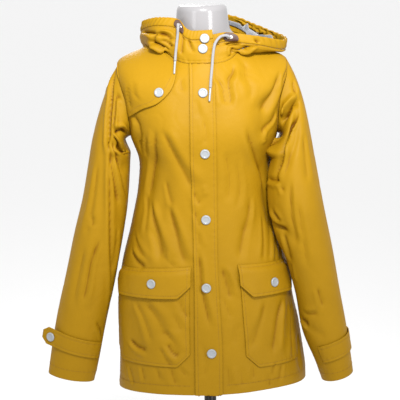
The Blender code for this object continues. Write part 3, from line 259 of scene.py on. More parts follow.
# Lower edge of the chest flap, from the neck seam to the armhole
FlapPoint = namedtuple("FlapPoint", "x z")
CHEST_EDGE = [
    FlapPoint(-0.0525, 1.388),
    FlapPoint(-0.0530, 1.366),
    FlapPoint(-0.0640, 1.336),
    FlapPoint(-0.0900, 1.311),
    FlapPoint(-0.1200, 1.299),
    FlapPoint(-0.1470, 1.281),
]
CHEST_SNAP = FlapPoint(-0.087, 1.331)
CHEST_AIR = 0.0005
CHEST_TOP_GAP, CHEST_SHOULDER_GAP = 0.008, 0.002  # from the neck seam and past the shoulder point
CHEST_SEAM_TURN, CHEST_ARMHOLE_TURN = 0.020, 0.030  # radians short of the shoulder seam and the armhole

# rise is how much higher a pocket's top is at its inner end than at its outer end
Pocket = namedtuple("Pocket", "inner outer flap_top flap_bottom top bottom rise snap_angle snap_z air")
POCKETS = {
    -1: Pocket(11.5, 76.0, 0.971, 0.917, 0.956, 0.782, 0.015, 35.5, 0.950, 0.0006),
    1: Pocket(21.5, 74.0, 0.981, 0.919, 0.966, 0.776, 0.006, 47.0, 0.944, 0.0002),
}
CORNER = 0.020  # width of the cut corners of the pockets and their flaps
FLAP_LEVEL = 0.4  # the rise of a flap's lower edge, as a share of the pocket's rise
POCKET_PULL = 0.22  # the swell comes down to the side seams over this share of the pocket's width
POCKET_SAG = 0.25  # and to the bottom seam over this share of its height
POCKET_RADIUS = 0.15  # about how far the pockets lie from the coat's axis
CORNER_SLANT = 1.25  # height of a cut corner over its width
FLAP_OVERHANG = 0.015  # how far a flap passes its pocket at each side, as a share of the pocket's width
FLAP_RISE = 0.0020
FLAP_SEWN = 0.0003  # how much closer than its pocket a flap lies along its seam

Tab = namedtuple("Tab", "start leave free_length down width snap_back")
TABS = {
    -1: Tab(18.0, 126.0, 0.048, 0.405, 0.036, 0.021),
    1: Tab(54.0, 216.0, 0.030, 0.405, 0.036, 0.013),
}
TAB_TILT = 0.00009  # metres down for each degree round
TAB_TIP = 0.012  # length of its blunt point
TAB_POINT = 0.55  # how much the point narrows
TAB_LIFT = 0.0020
TAB_SEWN = 0.0006

FormRow = namedtuple("FormRow", "z half side_y front_y back_y fullness")
FORM = [
    FormRow(FORM_FLOOR, 0.132, 0.004, -0.086, 0.096, 0.04),
    FormRow(0.874, 0.147, 0.004, -0.099, 0.109, 0.04),
    FormRow(0.930, 0.154, 0.002, -0.106, 0.114, 0.04),
    FormRow(1.000, 0.141, 0.000, -0.100, 0.102, 0.04),
    FormRow(1.085, 0.114, -0.002, -0.090, 0.080, 0.03),
    FormRow(1.160, 0.112, -0.004, -0.098, 0.084, 0.03),
    FormRow(1.215, 0.124, -0.005, -0.108, 0.094, 0.04),
]

Route = namedtuple("Route", "x y z")
CORD_ROUTES = {
    -1: [
        Route(-0.0466, -0.0639, 1.4612),
        Route(-0.0476, -0.0680, 1.4625),
        Route(-0.0482, -0.0722, 1.4560),
        Route(-0.0490, -0.0715, 1.4430),
        Route(-0.0508, -0.0712, 1.4300),
        Route(-0.0525, -0.0725, 1.4180),
        Route(-0.0540, -0.0740, 1.4050),
        Route(-0.0552, -0.0803, 1.3925),
    ],
    1: [
        Route(0.0538, -0.0697, 1.4361),
        Route(0.0530, -0.0738, 1.4372),
        Route(0.0500, -0.0758, 1.4390),
        Route(0.0440, -0.0750, 1.4400),
        Route(0.0350, -0.0750, 1.4375),
        Route(0.0290, -0.0775, 1.4320),
        Route(0.0240, -0.0818, 1.4240),
        Route(0.0212, -0.0848, 1.4130),
        Route(0.0195, -0.0870, 1.4020),
        Route(0.0175, -0.0930, 1.3820),
        Route(0.0150, -0.1022, 1.3620),
        Route(0.0130, -0.1096, 1.3410),
    ],
}

# ---------------------------------------------------------------- finer sizes

STUD_PROFILE = [  # shares of a snap's radius and height: a rolled rim round a shallow dish
    (0, 0), (0.90, 0), (0.98, 0.10), (1.0, 0.30), (0.985, 0.55), (0.93, 0.78), (0.85, 0.92), (0.76, 0.98),
    (0.68, 0.95), (0.62, 0.84), (0.56, 0.76), (0.40, 0.74), (0.20, 0.74), (0, 0.74),
]
EYELET_HEIGHT = 0.0012
EYELET_PROFILE = [(1.0, 0.4), (0.94, 0.85), (0.84, 1.0), (0.72, 0.9), (0.64, 0.5), (0.62, 0.1), (0, 0.1)]
EYELET_OVAL = (1.35, 0.75, 1.0, 1.0)  # longer along the rim than across it
EYELET_RISE = 0.0026  # over the hood's cloth
EYELET_AHEAD = 2.0  # degrees to each side between which the rim's direction is taken
SMALL_SIDES = 48  # sides of the snaps, eyelets and pole
SOCKET_SIDES, PLATE_SIDES = 64, 128

# The stand's edges: how far in from the radius, and how far up from the foot or down from the head
SOCKET_FOOT = [(0.009, 0), (0.006, 0.0015), (0.002, 0.010), (0, 0.014)]
SOCKET_HEAD = [(0, 0.0015), (0.0015, 0)]
STEEL_FOOT = [(0.001, 0), (0, 0.001)]
POLE_HEAD = [(0, 0.001), (0.001, 0)]
PLATE_HEAD = [(0, 0.004), (0.0012, 0.0014), (0.004, 0)]

# The dress form
FORM_SIDES = 160
FORM_CHEST_START = 0.035  # it follows the coat from this far above the underarm
FORM_CHEST_RINGS = 18
FORM_FINER = 3  # rings made for each one given
FORM_NECK = [(0.12, 0.45), (0.38, 0.86), (1.0, 1.0)]  # rings up the form's neck: how far up, and how far in
NECK_ROUNDING = 0.0095  # how far in the rounded edge of the form's neck starts
NECK_ROUND_STEPS = 9
FORM_TOP = (0.8, 0.55, 0.3, 0.1, 0.0)  # rings in to the middle of its flat top
FORM_FOOT = (0.0, 0.5, 0.9)  # and out from the middle of its foot

# Cords and their tips
CORD_SIDES = 24
CORD_STEP = 0.0011
BRAID_STRANDS, BRAID_PITCH, BRAID_DEPTH = 16, 0.0075, 0.07
TIP_RINGS = (0, 0.01, 0.04, 0.1, *np.linspace(0.16, 0.9, 12), 0.94, 0.97, 0.99, 1.0)
# how far along a tip, and its thickness there as a share of its diameter
TIP_PROFILE = [
    (0, 0.7), (0.01, 0.9), (0.04, 1.1), (0.1, 1.0), (0.85, 0.86), (0.94, 0.86), (0.97, 0.78), (0.99, 0.6),
    (1.0, 0.3),
]

# How finely the cloth is divided, in metres, and the extra lines beside a stitched edge
WEAVE = 0.0042
POCKET_WEAVE = 0.8 * WEAVE
HOOD_WEAVE = 0.0040
RIB_WEAVE, HEAD_WEAVE, TAB_WEAVE, FLAP_WEAVE, LINING_WEAVE = 0.0038, 0.0030, 0.0030, 0.0032, 0.0045
SLEEVE_COLUMNS = 89
SLEEVE_LEAST = 0.0012  # rows of a sleeve closer than this are left out
EDGE_LINES = (0.0, 0.0014, 0.0030, 0.0042, 0.0055, 0.0068, 0.0085, 0.0120)
TAB_LINES = (0.0, 0.0014, 0.0030, 0.0045, 0.0060)
# About how wide and long the pieces are, to space their lines
FRONT_WIDTH, BACK_WIDTH, POCKET_WIDTH, STORM_WIDTH = 0.25, 0.44, 0.165, 0.050
CHEST_WIDTH, CHEST_LENGTH = 0.150, 0.080
HOOD_WIDTH, HOOD_LENGTH, LINING_LENGTH = 0.40, 0.26, 0.22

# Stitching
STITCH_IN = 0.0055  # topstitching, in from an edge
HEM_STITCH_IN = 0.020
CUFF_STITCH_IN = 0.022
SEAM_DEPTH, SEAM_WIDTH = 0.00045, 0.0013  # the groove that a row of stitches lies in
PUCKER_LENGTH = 0.0115
PUCKER_HEIGHT, PUCKER_WIDTH = 0.00055, 0.0045
PUCKER_WAVES, PUCKER_SPREAD = 3, (0.8, 1.3)
STITCH_PITCH = 0.0036
STITCH_LENGTH = 0.0027
STITCH_SIDES, STITCH_RINGS = 6, 3
STITCH_LOOK = 0.001  # how far ahead and behind a stitch its direction is taken
THREAD = 0.00042  # half a stitch's thickness, a little coarse so that it shows
LONG_ROW_RISE = 0.3 * THREAD
HEM_ROW_START, HEM_ROW_END = 0.16, 0.20  # radians from the centre front to where the hem's row stops
HEM_ROW_POINTS, ARMHOLE_ROW_POINTS, ROW_POINTS = 700, 200, 240
ARMHOLE_ROW = (0.25, math.pi - 0.1)  # the turns at which an armhole's row starts and stops
ARMHOLE_ROW_IN, SIDE_ROW_IN = 0.055, 0.045  # radians from the seam to its row
SIDE_ROW_GAP = 0.01  # under the underarm

# Seeds of the random draws
PANEL_SEED, HEM_SEED, CUFF_SEED, CASING_SEED = 5, 3, 9, 7
TAB_SEED, STORM_SEED, CHEST_SEED, POCKET_SEED, FLAP_SEED, HOOD_EDGE_SEED = 31, 41, 51, 61, 71, 81
COAT_SEED, SLEEVE_SEED, HOOD_SEED = 11, 23, 37

# Pieces that lie on the coat
CREASE_AIR = 0.0006  # a little more air where creases cross under a flap
POCKET_FULL = 0.0022  # how far a pocket's middle stands out
FLAP_STAND = 0.0035  # how far a flap's free edge stands off the cloth under it
FLAP_EVEN, FLAP_UNEVEN, FLAP_WAVES = 0.7, 0.3, 7.0
CHEST_STAND = 0.0012  # the same as FLAP_STAND for the chest flap
CHEST_FREE = 0.22  # share of its length over which the chest flap comes to lie flat
CHEST_EVEN, CHEST_UNEVEN, CHEST_WAVES, CHEST_PHASE = 0.6, 0.4, 9, 1.0
CHEST_SNAP_AIR = 0.0010
TAB_STEP = 3.0  # degrees
TAB_RISE_RUN = 14  # degrees over which a tab rises off its seam
TAB_ROW = slice(2, -3)  # the part of a tab's length that its stitches run along

# Hood
CASING_PLUMP = 0.0018  # how far the cord's channel stands out over the cord
CASING_ROUND = 0.6  # 1 for a round channel and less for a flatter one
CASING_COLUMNS, CASING_ROWS = 170, 29
PUCKER_SWELL = 0.0016  # height of its gathers
GATHER_STEPS, GATHER_SPREAD = 60, (0.7, 1.35)
GATHER_SPAN = (-20, 185)  # degrees that the steps are laid over
GATHER_SLANT = 0.6  # how far a gather leans, in waves
LONG_GATHERS, SHORT_GATHERS = 0.62, 1.31  # waves to a step
SHORT_SHARE, SHORT_START = 0.4, 0.3
GATHER_LEAST, GATHER_INSIDE = 0.25, 0.45  # shares left on the plain stretches and at the inner seam
BACK_END = 4  # degrees past the back seam to where the gathers would end
LINING_FRONT = 0.45  # where the lining starts along a rib, beside the throat
LINING_BACK = 0.09  # and behind
LINING_TOP = 0.02  # share of a rib left between the lining and the casing
LINING_FALL = {-1: 95, 1: 38}  # degrees: from here its lower edge falls to the neck seam
LINING_RUN = {-1: 40, 1: 24}
LINING_LOOSE, LINING_LOOSE_BACK = 0.0025, 0.0060  # the air between the lining and the hood
LINING_BAG, LINING_BAG_RUN = 135, 30  # degrees
NECK_SEAM = 0.0018  # the gap at the hood's two seams, as a share of a rib
PATCH_SHARE = 0.66  # a patch's length on the cloth, as a share of the solid's
PATCH_COLUMNS, PATCH_ROWS = 41, 17
PATCH_ROUND = 2.6  # 2 for an oval, more for squarer ends
PATCH_END = 0.05  # half width left at its ends, as a share
PATCH_THICKNESS, PATCH_RISE, PATCH_DOME = 0.0014, 0.0016, 0.0008

# The camera and the studio's lights
CAMERA_PLACE = (-0.0123, -3.5, 1.7236)
CAMERA_TARGET = (-0.0123, 0.0, 1.0980)
CAMERA_LENS, CAMERA_SENSOR = 156.09, 36.0
CAMERA_ROLL = math.radians(1.29)
CAMERA_REACH = 200.0
FLOOR_HALF = 60.0
FLOOR_DROP = 0.0005
# How sharply the cloth must bend inwards for painted shade to darken its colour, and how much of its colour
# is left under the full painted crease shade
CREASE_SHADE_FULL, CREASE_SHADE_NONE = 0.42, 0.485
PAINTED_CREASE_SHADE_COLOUR = (0.50, 0.36, 0.15, 1.0)
MIX_A, MIX_B, MIX_RESULT = 6, 7, 2  # numbers of a colour mix's sockets
AIR_STRENGTH = 0.95
# Soft boxes: name, place, what it is aimed at, width and height, spread of its beam and watts
SoftBox = namedtuple("SoftBox", "name place aim size spread watts")
SOFT_BOXES = [
    SoftBox("soft_box_top", (0.25, -1.9, 2.7), (0.0, 0.0, 1.48), (0.4, 0.4), 38, 5.0),
    SoftBox("soft_box_left", (1.9, -2.6, 1.9), (0.0, 0.0, 1.15), (0.9, 1.2), 70, 4.4),
    SoftBox("soft_box_right", (-1.9, -2.6, 1.9), (0.0, 0.0, 1.15), (0.9, 1.2), 70, 1.4),
    SoftBox("soft_box_back", (-0.4, 2.2, 2.7), (0.0, 0.0, 1.45), (0.8, 0.8), 40, 3.0),
]

# Finding places on the faces: steps, share of the miss made up in each, and rough sizes of the coat
PLACE_STEPS, PLACE_ACROSS, PLACE_UP = 80, 0.6, 0.7
HEIGHT_STEPS, HEIGHT_UP = 60, 0.8
COAT_HALF_WIDTH, FRONT_LIMIT = 0.17, 1.4
FOLD_END = 0.3  # share of its length over which a fold dies away at each end
BUST_SIDE = 3  # how steeply the bust's swell ends at the sides
ARM_STEP = 0.02  # metres down a sleeve over which its heading is taken
HOOD_STEPS = (0.4, 0.0015)  # degrees, and a share of a rib, between which the hood's slopes are taken
RIB_END = 0.002  # the slopes at a rib's ends are taken this much further in
MERGE = 1e-6  # metres
MERGE_SLEEVE = 2e-5

# A crease is a valley (depth below 0) or ridge along a smooth line of (angle, place) points, in the same
# measures as a fold, and on the hood in degrees and shares of a rib. Its cloth banks up beside it on one
# side: lean is 1 or -1, and 0 for a plain ridge.
Crease = namedtuple("Crease", "depth width lean path")
CREASE_END = 0.22  # share of its length over which a crease dies away at each end
CREASE_ROUND = 1.2  # 2 for a round valley and 1 for a sharp one
CREASE_BANK = 0.55  # height of the bank beside a crease, as a share of its depth
BANK_AWAY, BANK_WIDTH = 2.1, 1.2  # in widths of the crease
CREASE_START, CREASE_SPREAD = 0.75, 0.5  # share of its width at its start, and what it gains by its end
CREASE_REACH = 4  # widths away at which a crease is no longer felt
WAVE_SPREAD = (0.7, 1.6)  # shortest and longest wave of a ripple, as shares of its length
SOFT_DENT, SOFT_LENGTH, SOFT_STRETCH = 0.00045, 0.075, (1, 1, 2.2)
SHARP_DENT, SHARP_LENGTH, SHARP_STRETCH = 0.00055, 0.055, (1, 1, 1.8)
SHARP_WIDTH = 0.16  # of a sharp dent, as a share of its ripple's height
DENTED_LENGTH, DENTED, DENTED_SWING = 0.16, 0.5, 0.8  # patches with more and fewer sharp dents
SLEEVE_SHARE, HOOD_SHARE = 1.7, 2.4  # the creases of the sleeves and hood are deeper by this much
SEAM_CALM = 0.012  # creases die away over this much before a seam
ARMHOLE_NEAR = 0.02  # the calm beside the armhole fades over this much above and below it
HOOD_METRES_PER_DEGREE = 0.0021
HOOD_RIB_SHORT, HOOD_RIB_LONG = 0.10, 0.38  # length of a rib at the side and at the back
HOOD_CALM = 0.08  # share of a rib over which the creases rise from the neck seam
THROAT_CALM, THROAT_CALM_RUN = 5, 20  # degrees round from the throat's edge to where they rise
BAG_START, BAG_RUN, RIB_RUN = 90, 40, 60  # degrees round to where the hood's bag begins, and its runs
BAG_CRUMPLE = 0.6  # how much more crumpled the bag is


def listed(rows, place_unit=0.001):
    """Creases from rows of depth and width in mm, lean, and then the angle and place of each point.

    Places are in mm, and in hundredths of a rib on the hood.
    """
    creases = []
    for depth, width, lean, *path in rows:
        line = [(angle, place_unit * place) for angle, place in zip(path[::2], path[1::2])]
        creases.append(Crease(0.001 * depth, 0.001 * width, lean, line))
    return creases


COAT_CREASES = listed([
    # the left side, where the sleeve hangs against it
    (3, 30, 0, 79, 1242, 84, 1160, 86, 1080, 84, 1010),
    # right front
    (-3, 6.5, 1, -35, 1264, -45, 1207, -52, 1181, -56, 1141, -58, 1109),
    (-3.5, 7, -1, -53, 1114, -46, 1079, -37, 1037, -29, 991),
    (-1.5, 4, 1, -36, 1158, -32, 1128, -27, 1104),
    (-3, 9, -1, -31, 1266, -28, 1241, -22, 1191, -15, 1160, -10, 1133),
    (-3.2, 6.5, -1, -32, 1111, -26, 1074, -21, 1040, -18, 1016, -12, 981),
    (-1.2, 5, 1, -47, 1060, -38, 1025, -31, 986),
    (-3.2, 5, -1, -68, 1010, -54, 988, -43, 978),
    (-1.6, 4.5, -1, -69, 1043, -55, 1013, -40, 986),
    (-1.4, 3.5, -1, -31, 1010, -23, 983),
    (-1.2, 3.5, 1, -26, 1008, -21, 983),
    (-1.4, 5, 1, -62, 1127, -54, 1082, -52, 1040),
    (-1.4, 4, 1, -47, 1244, -59, 1201),
    (-1.8, 3.5, 1, -54, 1348, -59, 1295),
    (-1.5, 3.5, -1, -49, 1351, -47, 1317),
    (-1.2, 4, 1, -19, 1359, -12, 1332),
    (-3, 9, 1, -60, 1291, -54, 1267, -68, 1209),
    # storm flap, with the fronts under it
    (-1.6, 5, 1, -10, 1136, -7, 1121, -4, 1109),
    (1.4, 5, 0, -2, 1152, 0, 1126),
    (-1.2, 3.5, 1, -9, 1097, -4, 1062),
    (-1, 3.5, -1, -6, 1058, -5, 1025),
    (-2.6, 3.6, -1, -7, 1025, -5, 996, -4, 944, -2, 909, 0, 875, 1, 854),
    (-1, 4, 1, -1, 1281, 1, 1249, -1, 1228),
    (-0.9, 4, -1, -5, 1320, -3, 1281),
    (-1.2, 4, 1, -4, 830, -2, 789, -4, 758),
    # left front
    (-2, 4, 1, 10, 1365, 11, 1356, 12, 1346, 12, 1325, 14, 1303),
    (-2.2, 4, -1, 38, 1383, 27, 1365, 20, 1355, 16, 1338, 16, 1322, 17, 1295),
    (-1.6, 6, 1, 51, 1391, 43, 1373, 33, 1351, 29, 1305),
    (-4, 9, -1, 61, 1364, 55, 1340, 52, 1320, 48, 1306, 41, 1285),
    (-2.2, 4, 1, 84, 1378, 69, 1357, 63, 1343, 62, 1327),
    (-2.2, 4, -1, 60, 1287, 59, 1269, 53, 1259, 46, 1246),
    (1.8, 6, 0, 52, 1256, 52, 1222),
    (-3.2, 7, 1, 30, 1269, 33, 1246, 40, 1220, 51, 1192, 64, 1156, 68, 1114),
    (-2, 6, -1, 42, 1126, 38, 1087, 30, 1045, 25, 1015, 21, 988),
    (-1.8, 4, 1, 54, 1082, 49, 1028, 42, 983),
    (-1.3, 3.5, -1, 69, 1077, 57, 1025, 48, 981),
    (-1.6, 4, 1, 70, 1040, 56, 976),
    (-1.3, 3, -1, 76, 1023, 64, 973),
    (-2.6, 5, -1, 9, 988, 12, 949, 15, 914),
    (-1.6, 4, -1, 12, 983, 16, 934),
    (-1.4, 4, 1, 9, 924, 14, 878),
    (-1.2, 6, 1, 18, 871, 15, 823),
    (-1.6, 8, 1, 15, 1219, 21, 1167, 19, 1109),
    (-1.2, 6, -1, 27, 1198, 31, 1143, 25, 1092),
    # right pocket, with the front under it
    (-1.6, 4.5, 1, -51, 916, -43, 884, -38, 851, -35, 820),
    (-2.4, 8, -1, -42, 914, -31, 878, -26, 832),
    (-1.6, 4.5, 1, -18, 924, -15, 899, -12, 880),
    (-1.4, 4.5, -1, -20, 892, -16, 854),
    (-3.2, 4.5, 1, -57, 830, -49, 816, -39, 812),
    (-1.8, 4.5, -1, -27, 861, -23, 842, -20, 827, -19, 811),
    (-2.8, 4.5, 1, -25, 832, -22, 813, -17, 804),
    (-1.6, 4, -1, -30, 825, -26, 801, -23, 780),
    (-1.6, 3, 1, -46, 778, -43, 745),
    (-1.6, 3, -1, -33, 781, -30, 751),
    (-1.8, 3.5, 1, -24, 784, -20, 742),
    (-1.4, 3, -1, -18, 784, -13, 763),
    (-1.6, 3, 1, -60, 771, -53, 733),
    # left pocket, with the front under it
    (-2, 6, 1, 39, 914, 35, 880, 29, 842, 24, 809),
    (-3.4, 5.5, -1, 57, 911, 49, 874, 44, 834, 39, 793),
    (-1.6, 3, 1, 25, 781, 25, 751),
    (-1.8, 3, -1, 35, 768, 36, 731),
    (-1.4, 3, 1, 42, 784, 37, 750),
    (-1.8, 3, -1, 48, 777, 43, 738),
    (-2, 5, 1, 72, 898, 65, 834, 58, 767),
    (-2, 6, -1, 76, 827, 71, 767, 73, 734),
    (-1.2, 4, 1, 17, 778, 18, 738),
    (-1.2, 4, -1, 10, 785, 11, 740),
    # sides and back
    (-3.4, 7, 1, 104, 1228, 118, 1196, 131, 1150, 138, 1092),
    (-2.6, 5.5, -1, 102, 1200, 112, 1158, 118, 1110),
    (-3.2, 7, -1, 255, 1226, 243, 1190, 229, 1148, 224, 1080),
    (-2.4, 5.5, 1, 259, 1196, 249, 1150, 246, 1100),
    (-2, 8, 1, 143, 1330, 150, 1290, 152, 1236, 148, 1190),
    (-1.8, 8, -1, 221, 1338, 212, 1286, 210, 1232),
    (-2.2, 6, -1, 160, 1096, 168, 1052, 171, 1000, 168, 940),
    (-2.6, 6.5, 1, 205, 1120, 196, 1064, 193, 1004, 197, 950),
    (-1.6, 4.5, 1, 150, 1054, 157, 1016, 158, 978),
    (-1.6, 4.5, -1, 218, 1050, 210, 1010, 208, 972),
    (-2.4, 7.5, -1, 124, 1030, 130, 980, 129, 910, 133, 850),
    (-2.4, 7.5, 1, 238, 1036, 231, 984, 233, 900, 229, 846),
    (-2, 6, 1, 176, 900, 180, 852, 178, 790, 181, 740),
    (-1.8, 5, -1, 152, 866, 156, 812, 154, 752),
    (-2, 5.5, 1, 209, 872, 203, 806, 206, 748),
    (-1.6, 4.5, -1, 110, 868, 107, 806, 109, 748),
    (-1.8, 5, 1, 253, 860, 256, 800, 252, 744),
    (-1.4, 3.5, 1, 136, 786, 139, 738),
    (-1.4, 3.5, -1, 222, 790, 219, 742),
    (-1.6, 5, -1, 96, 1080, 104, 1040, 106, 990),
    (-1.6, 5, 1, 265, 1084, 257, 1046, 255, 990),
    (-1.2, 5, 1, 170, 1262, 184, 1246, 197, 1256),
    (-1.2, 4.5, -1, 158, 1214, 176, 1196, 190, 1204),
])
SLEEVE_CREASES = {
    -1: listed([
        (-3.4, 5, 1, 175, -146, 150, -124, 128, -107, 117, -83, 98, -38, 90, 1),
        (-2.2, 4.5, 1, 92, -14, 76, 85, 51, 190, 22, 277, 6, 350),
        (-2.4, 3.5, -1, 105, -140, 118, -122, 108, -104, 97, -77, 94, -62),
        (-3.4, 5, 1, 30, -135, 48, -120, 75, -80, 94, -59),
        (-3.2, 4.5, -1, 94, -59, 64, -44, 25, 1),
        (-2.2, 3.5, 1, 86, -47, 73, -14, 51, 28, 32, 67, 7, 94),
        (-2.4, 3.5, -1, 88, -17, 79, 19, 62, 64, 46, 97),
        (-1.6, 5, -1, 83, 166, 90, 196, 94, 229, 93, 265, 97, 316),
        (-1.4, 5, 1, 116, 124, 107, 148),
        (-1.2, 6, 1, 123, 13, 121, 94, 120, 178),
        (-1, 7, -1, 118, 187, 120, 262, 115, 325),
        (-1.4, 4, 1, 56, 340, 22, 370, 11, 394),
        (-1.2, 4.5, -1, 44, 136, 35, 190, 33, 241),
        (-3, 5.5, -1, 196, -128, 222, -100, 246, -60, 262, -10),
        (-2.8, 5, 1, 300, -92, 276, -62, 252, -18, 238, 40),
        (-2.2, 4.5, -1, 318, -30, 292, 0, 272, 44),
        (-1.8, 6, 1, 236, 90, 244, 150, 238, 220),
        (-1.6, 5, -1, 282, 110, 270, 160, 266, 226),
        (-1.6, 5.5, 1, 212, 240, 224, 300, 220, 368),
        (-1.4, 4.5, -1, 300, 250, 286, 296, 281, 350),
    ]),
    1: listed([
        (2.2, 22, 0, 10, -10, 8, 70, 8, 140, 10, 210),
        (6.4, 23, 0, 7, -98, 8, -40, 12, 0),
        (-5.5, 6, -1, 136, -89, 109, -107, 93, -113, 72, -125, 52, -137),
        (-4.2, 4.5, 1, 129, -83, 115, -77, 88, -71, 70, -53, 55, 1, 30, 43),
        (-3, 5, -1, 40, -110, 24, -70, 8, -30, 2, 10),
        (-2.4, 4, -1, 5, 43, 30, 43, 52, 40),
        (-2.6, 4.5, 1, 3, 97, 14, 127, 35, 139, 53, 145),
        (-1.4, 5, 1, 79, 40, 71, 112, 65, 178),
        (-1.6, 5, 1, 141, -131, 131, -119, 133, -98),
        (-2.6, 4, -1, 14, 328, 29, 334, 47, 343),
        (-1.6, 4.5, -1, 34, 145, 37, 163, 31, 211),
        (-1.2, 4, 1, 31, 211, 19, 250),
        (-1, 6, 1, 91, 85, 83, 166, 74, 226),
        (-1.2, 5, -1, 88, 265, 92, 292, 95, 310),
        (-1, 6, 1, 130, -44, 124, 10, 119, 61),
        (-1.2, 4, -1, 51, 55, 62, 64),
        (-1.4, 3.5, 1, 23, 100, 39, 127),
        (-1.4, 4, 1, 35, 316, 65, 319, 81, 316),
        (-3, 5.5, 1, 194, -126, 218, -98, 240, -58, 256, -8),
        (-2.8, 5, -1, 304, -88, 280, -58, 258, -14, 244, 36),
        (-2.2, 4.5, 1, 322, -26, 298, 6, 276, 52),
        (-1.8, 6, -1, 230, 100, 238, 158, 231, 236),
        (-1.6, 5, 1, 286, 120, 272, 170, 270, 232),
        (-1.6, 5.5, -1, 208, 252, 219, 306, 214, 372),
        (-1.4, 4.5, 1, 304, 262, 290, 304, 285, 356),
    ]),
}
HOOD_CREASES = {
    -1: listed([
        (-2.4, 3, -1, 92, 77, 78, 73, 67, 70, 60, 66),
        (-2, 3, 1, 60, 68, 53, 63, 48, 56, 44, 46),
        (-3.2, 4, -1, 70, 56, 60, 52, 54, 38, 50, 18),
        (-1.4, 3, 1, 56, 57, 49, 48, 43, 31),
        (-1.6, 3, 1, 59, 68, 63, 60, 64, 52),
        (-1.4, 5, 1, 22, 88, 17, 53, 11, 30),
        (-1.2, 4, -1, 31, 84, 30, 44, 30, 18),
        (-2.2, 4, 1, 84, 16, 96, 34, 112, 48, 124, 66),
        (-2, 4.5, -1, 100, 10, 116, 28, 134, 42, 150, 52),
        (-2.4, 5.5, 1, 128, 60, 140, 68, 154, 70, 168, 78),
        (-1.8, 4.5, -1, 118, 76, 132, 74, 148, 80),
        (-2, 5, 1, 150, 24, 160, 40, 172, 50, 178, 62),
        (-1.6, 4, -1, 164, 56, 170, 66, 172, 78),
    ], 0.01),
    1: listed([
        (-2.6, 3.4, 1, 152, 93, 146, 93, 140, 92, 134, 88),
        (-2, 3, -1, 137, 95, 134, 91, 130, 86),
        (-2.2, 3, 1, 131, 96, 127, 94, 122, 91, 114, 92),
        (-1.6, 2.6, 1, 124, 97, 120, 93, 117, 88),
        (-2, 3, 1, 34, 60, 40, 74, 44, 81, 50, 80),
        (-2.8, 4.5, -1, 58, 80, 55, 68, 51, 48, 46, 24),
        (-1.8, 4, 1, 42, 56, 41, 34, 43, 14),
        (-1.2, 3, 1, 60, 93, 64, 88),
        (-2.2, 4, -1, 78, 18, 92, 32, 108, 50, 122, 62),
        (-2, 4.5, 1, 98, 12, 118, 24, 132, 40, 148, 50),
        (-2.2, 5.5, -1, 124, 66, 138, 66, 152, 72, 170, 74),
        (-1.8, 4.5, 1, 112, 78, 126, 78, 140, 76),
        (-1.8, 5, -1, 146, 28, 158, 42, 168, 56),
        (-1.6, 4, 1, 160, 60, 166, 70, 168, 80),
    ], 0.01),
}

# ---------------------------------------------------------------- curves and faces


def columns_of(table, at, overrun=0.01):
    """A table's columns after the first, read from smooth curves at the first column's values `at`."""
    rows = np.array(table, float)
    keys, values = rows[:, 0], rows[:, 1:]
    at = np.clip(np.asarray(at, float), keys[0] - overrun, keys[-1] + overrun)
    slopes = np.gradient(values, keys, axis=0)
    i = np.clip(np.searchsorted(keys, at) - 1, 0, len(keys) - 2)
    step = (keys[i + 1] - keys[i])[..., None]
    t = (at - keys[i])[..., None] / step
    from_start = (2 * t**3 - 3 * t**2 + 1) * values[i] + (t**3 - 2 * t**2 + t) * step * slopes[i]
    from_end = (3 * t**2 - 2 * t**3) * values[i + 1] + (t**3 - t**2) * step * slopes[i + 1]
    return np.moveaxis(from_start + from_end, -1, 0)


def smooth_step(t):
    t = np.clip(t, 0.0, 1.0)
    return t * t * (3 - 2 * t)


def unit(vectors):
    return vectors / np.maximum(np.linalg.norm(vectors, axis=-1, keepdims=True), 1e-12)


def outward(face, first, second, sign=1, steps=(0.004, 0.0012)):
    """Outward directions of a face, from its slopes along its two parameters."""
    a, b = steps
    along_first = face(first + a, second) - face(first - a, second)
    along_second = face(first, second + b) - face(first, second - b)
    return sign * unit(np.cross(along_first, along_second))


def relief(folds, angle, place, metres_per_degree):
    """How far the folds push a face out, in metres, at these angles (degrees) and places."""
    out = np.zeros(np.broadcast(angle, place).shape)
    for fold in folds:
        turn = (angle - fold.angle_0 + 180) % 360 - 180
        dx, dz = turn * metres_per_degree, place - fold.place_0
        run_x = (fold.angle_1 - fold.angle_0) * metres_per_degree
        run_z = fold.place_1 - fold.place_0
        t = np.clip((dx * run_x + dz * run_z) / (run_x**2 + run_z**2), 0.0, 1.0)
        distance = np.hypot(dx - t * run_x, dz - t * run_z)
        fade = smooth_step(t / FOLD_END) * smooth_step((1 - t) / FOLD_END)
        out += fold.depth * fade * np.exp(-((distance / fold.width) ** 2))
    return out


def oval(phi, half, side_y, end_y, fullness):
    """x and y of a ring's points: a rounded oval through its side and its front or back."""
    s, c = np.sin(phi), np.abs(np.cos(phi))
    return half * s * (1 + fullness * c * c), side_y + (end_y - side_y) * c * (1 + fullness * s * s)


def coat_base(phi, along):
    """The coat's outer face with no folds. phi is radians round from the centre front."""
    side_z, right, left, side_y, front_z, front_y, back_z, back_y, fullness = columns_of(COAT, along)
    front = np.cos(phi) >= 0
    half = np.where(np.sin(phi) < 0, right, left)
    x, y = oval(phi, half, side_y, np.where(front, front_y, back_y), fullness)
    z = side_z + (np.where(front, front_z, back_z) - side_z) * (1 - np.sin(phi) ** 4)
    z = z + LEFT_HEM_RISE * smooth_step(np.sin(phi)) * smooth_step(1 - along / LEFT_HEM_RUN)
    for bump in BUST:
        swell = np.exp(-(((x - bump.x) / bump.reach_x) ** 2) - ((z - bump.z) / bump.reach_z) ** 2)
        y = y - bump.height * swell * smooth_step(np.cos(phi) * BUST_SIDE)
    return np.stack([x, y, z], axis=-1)


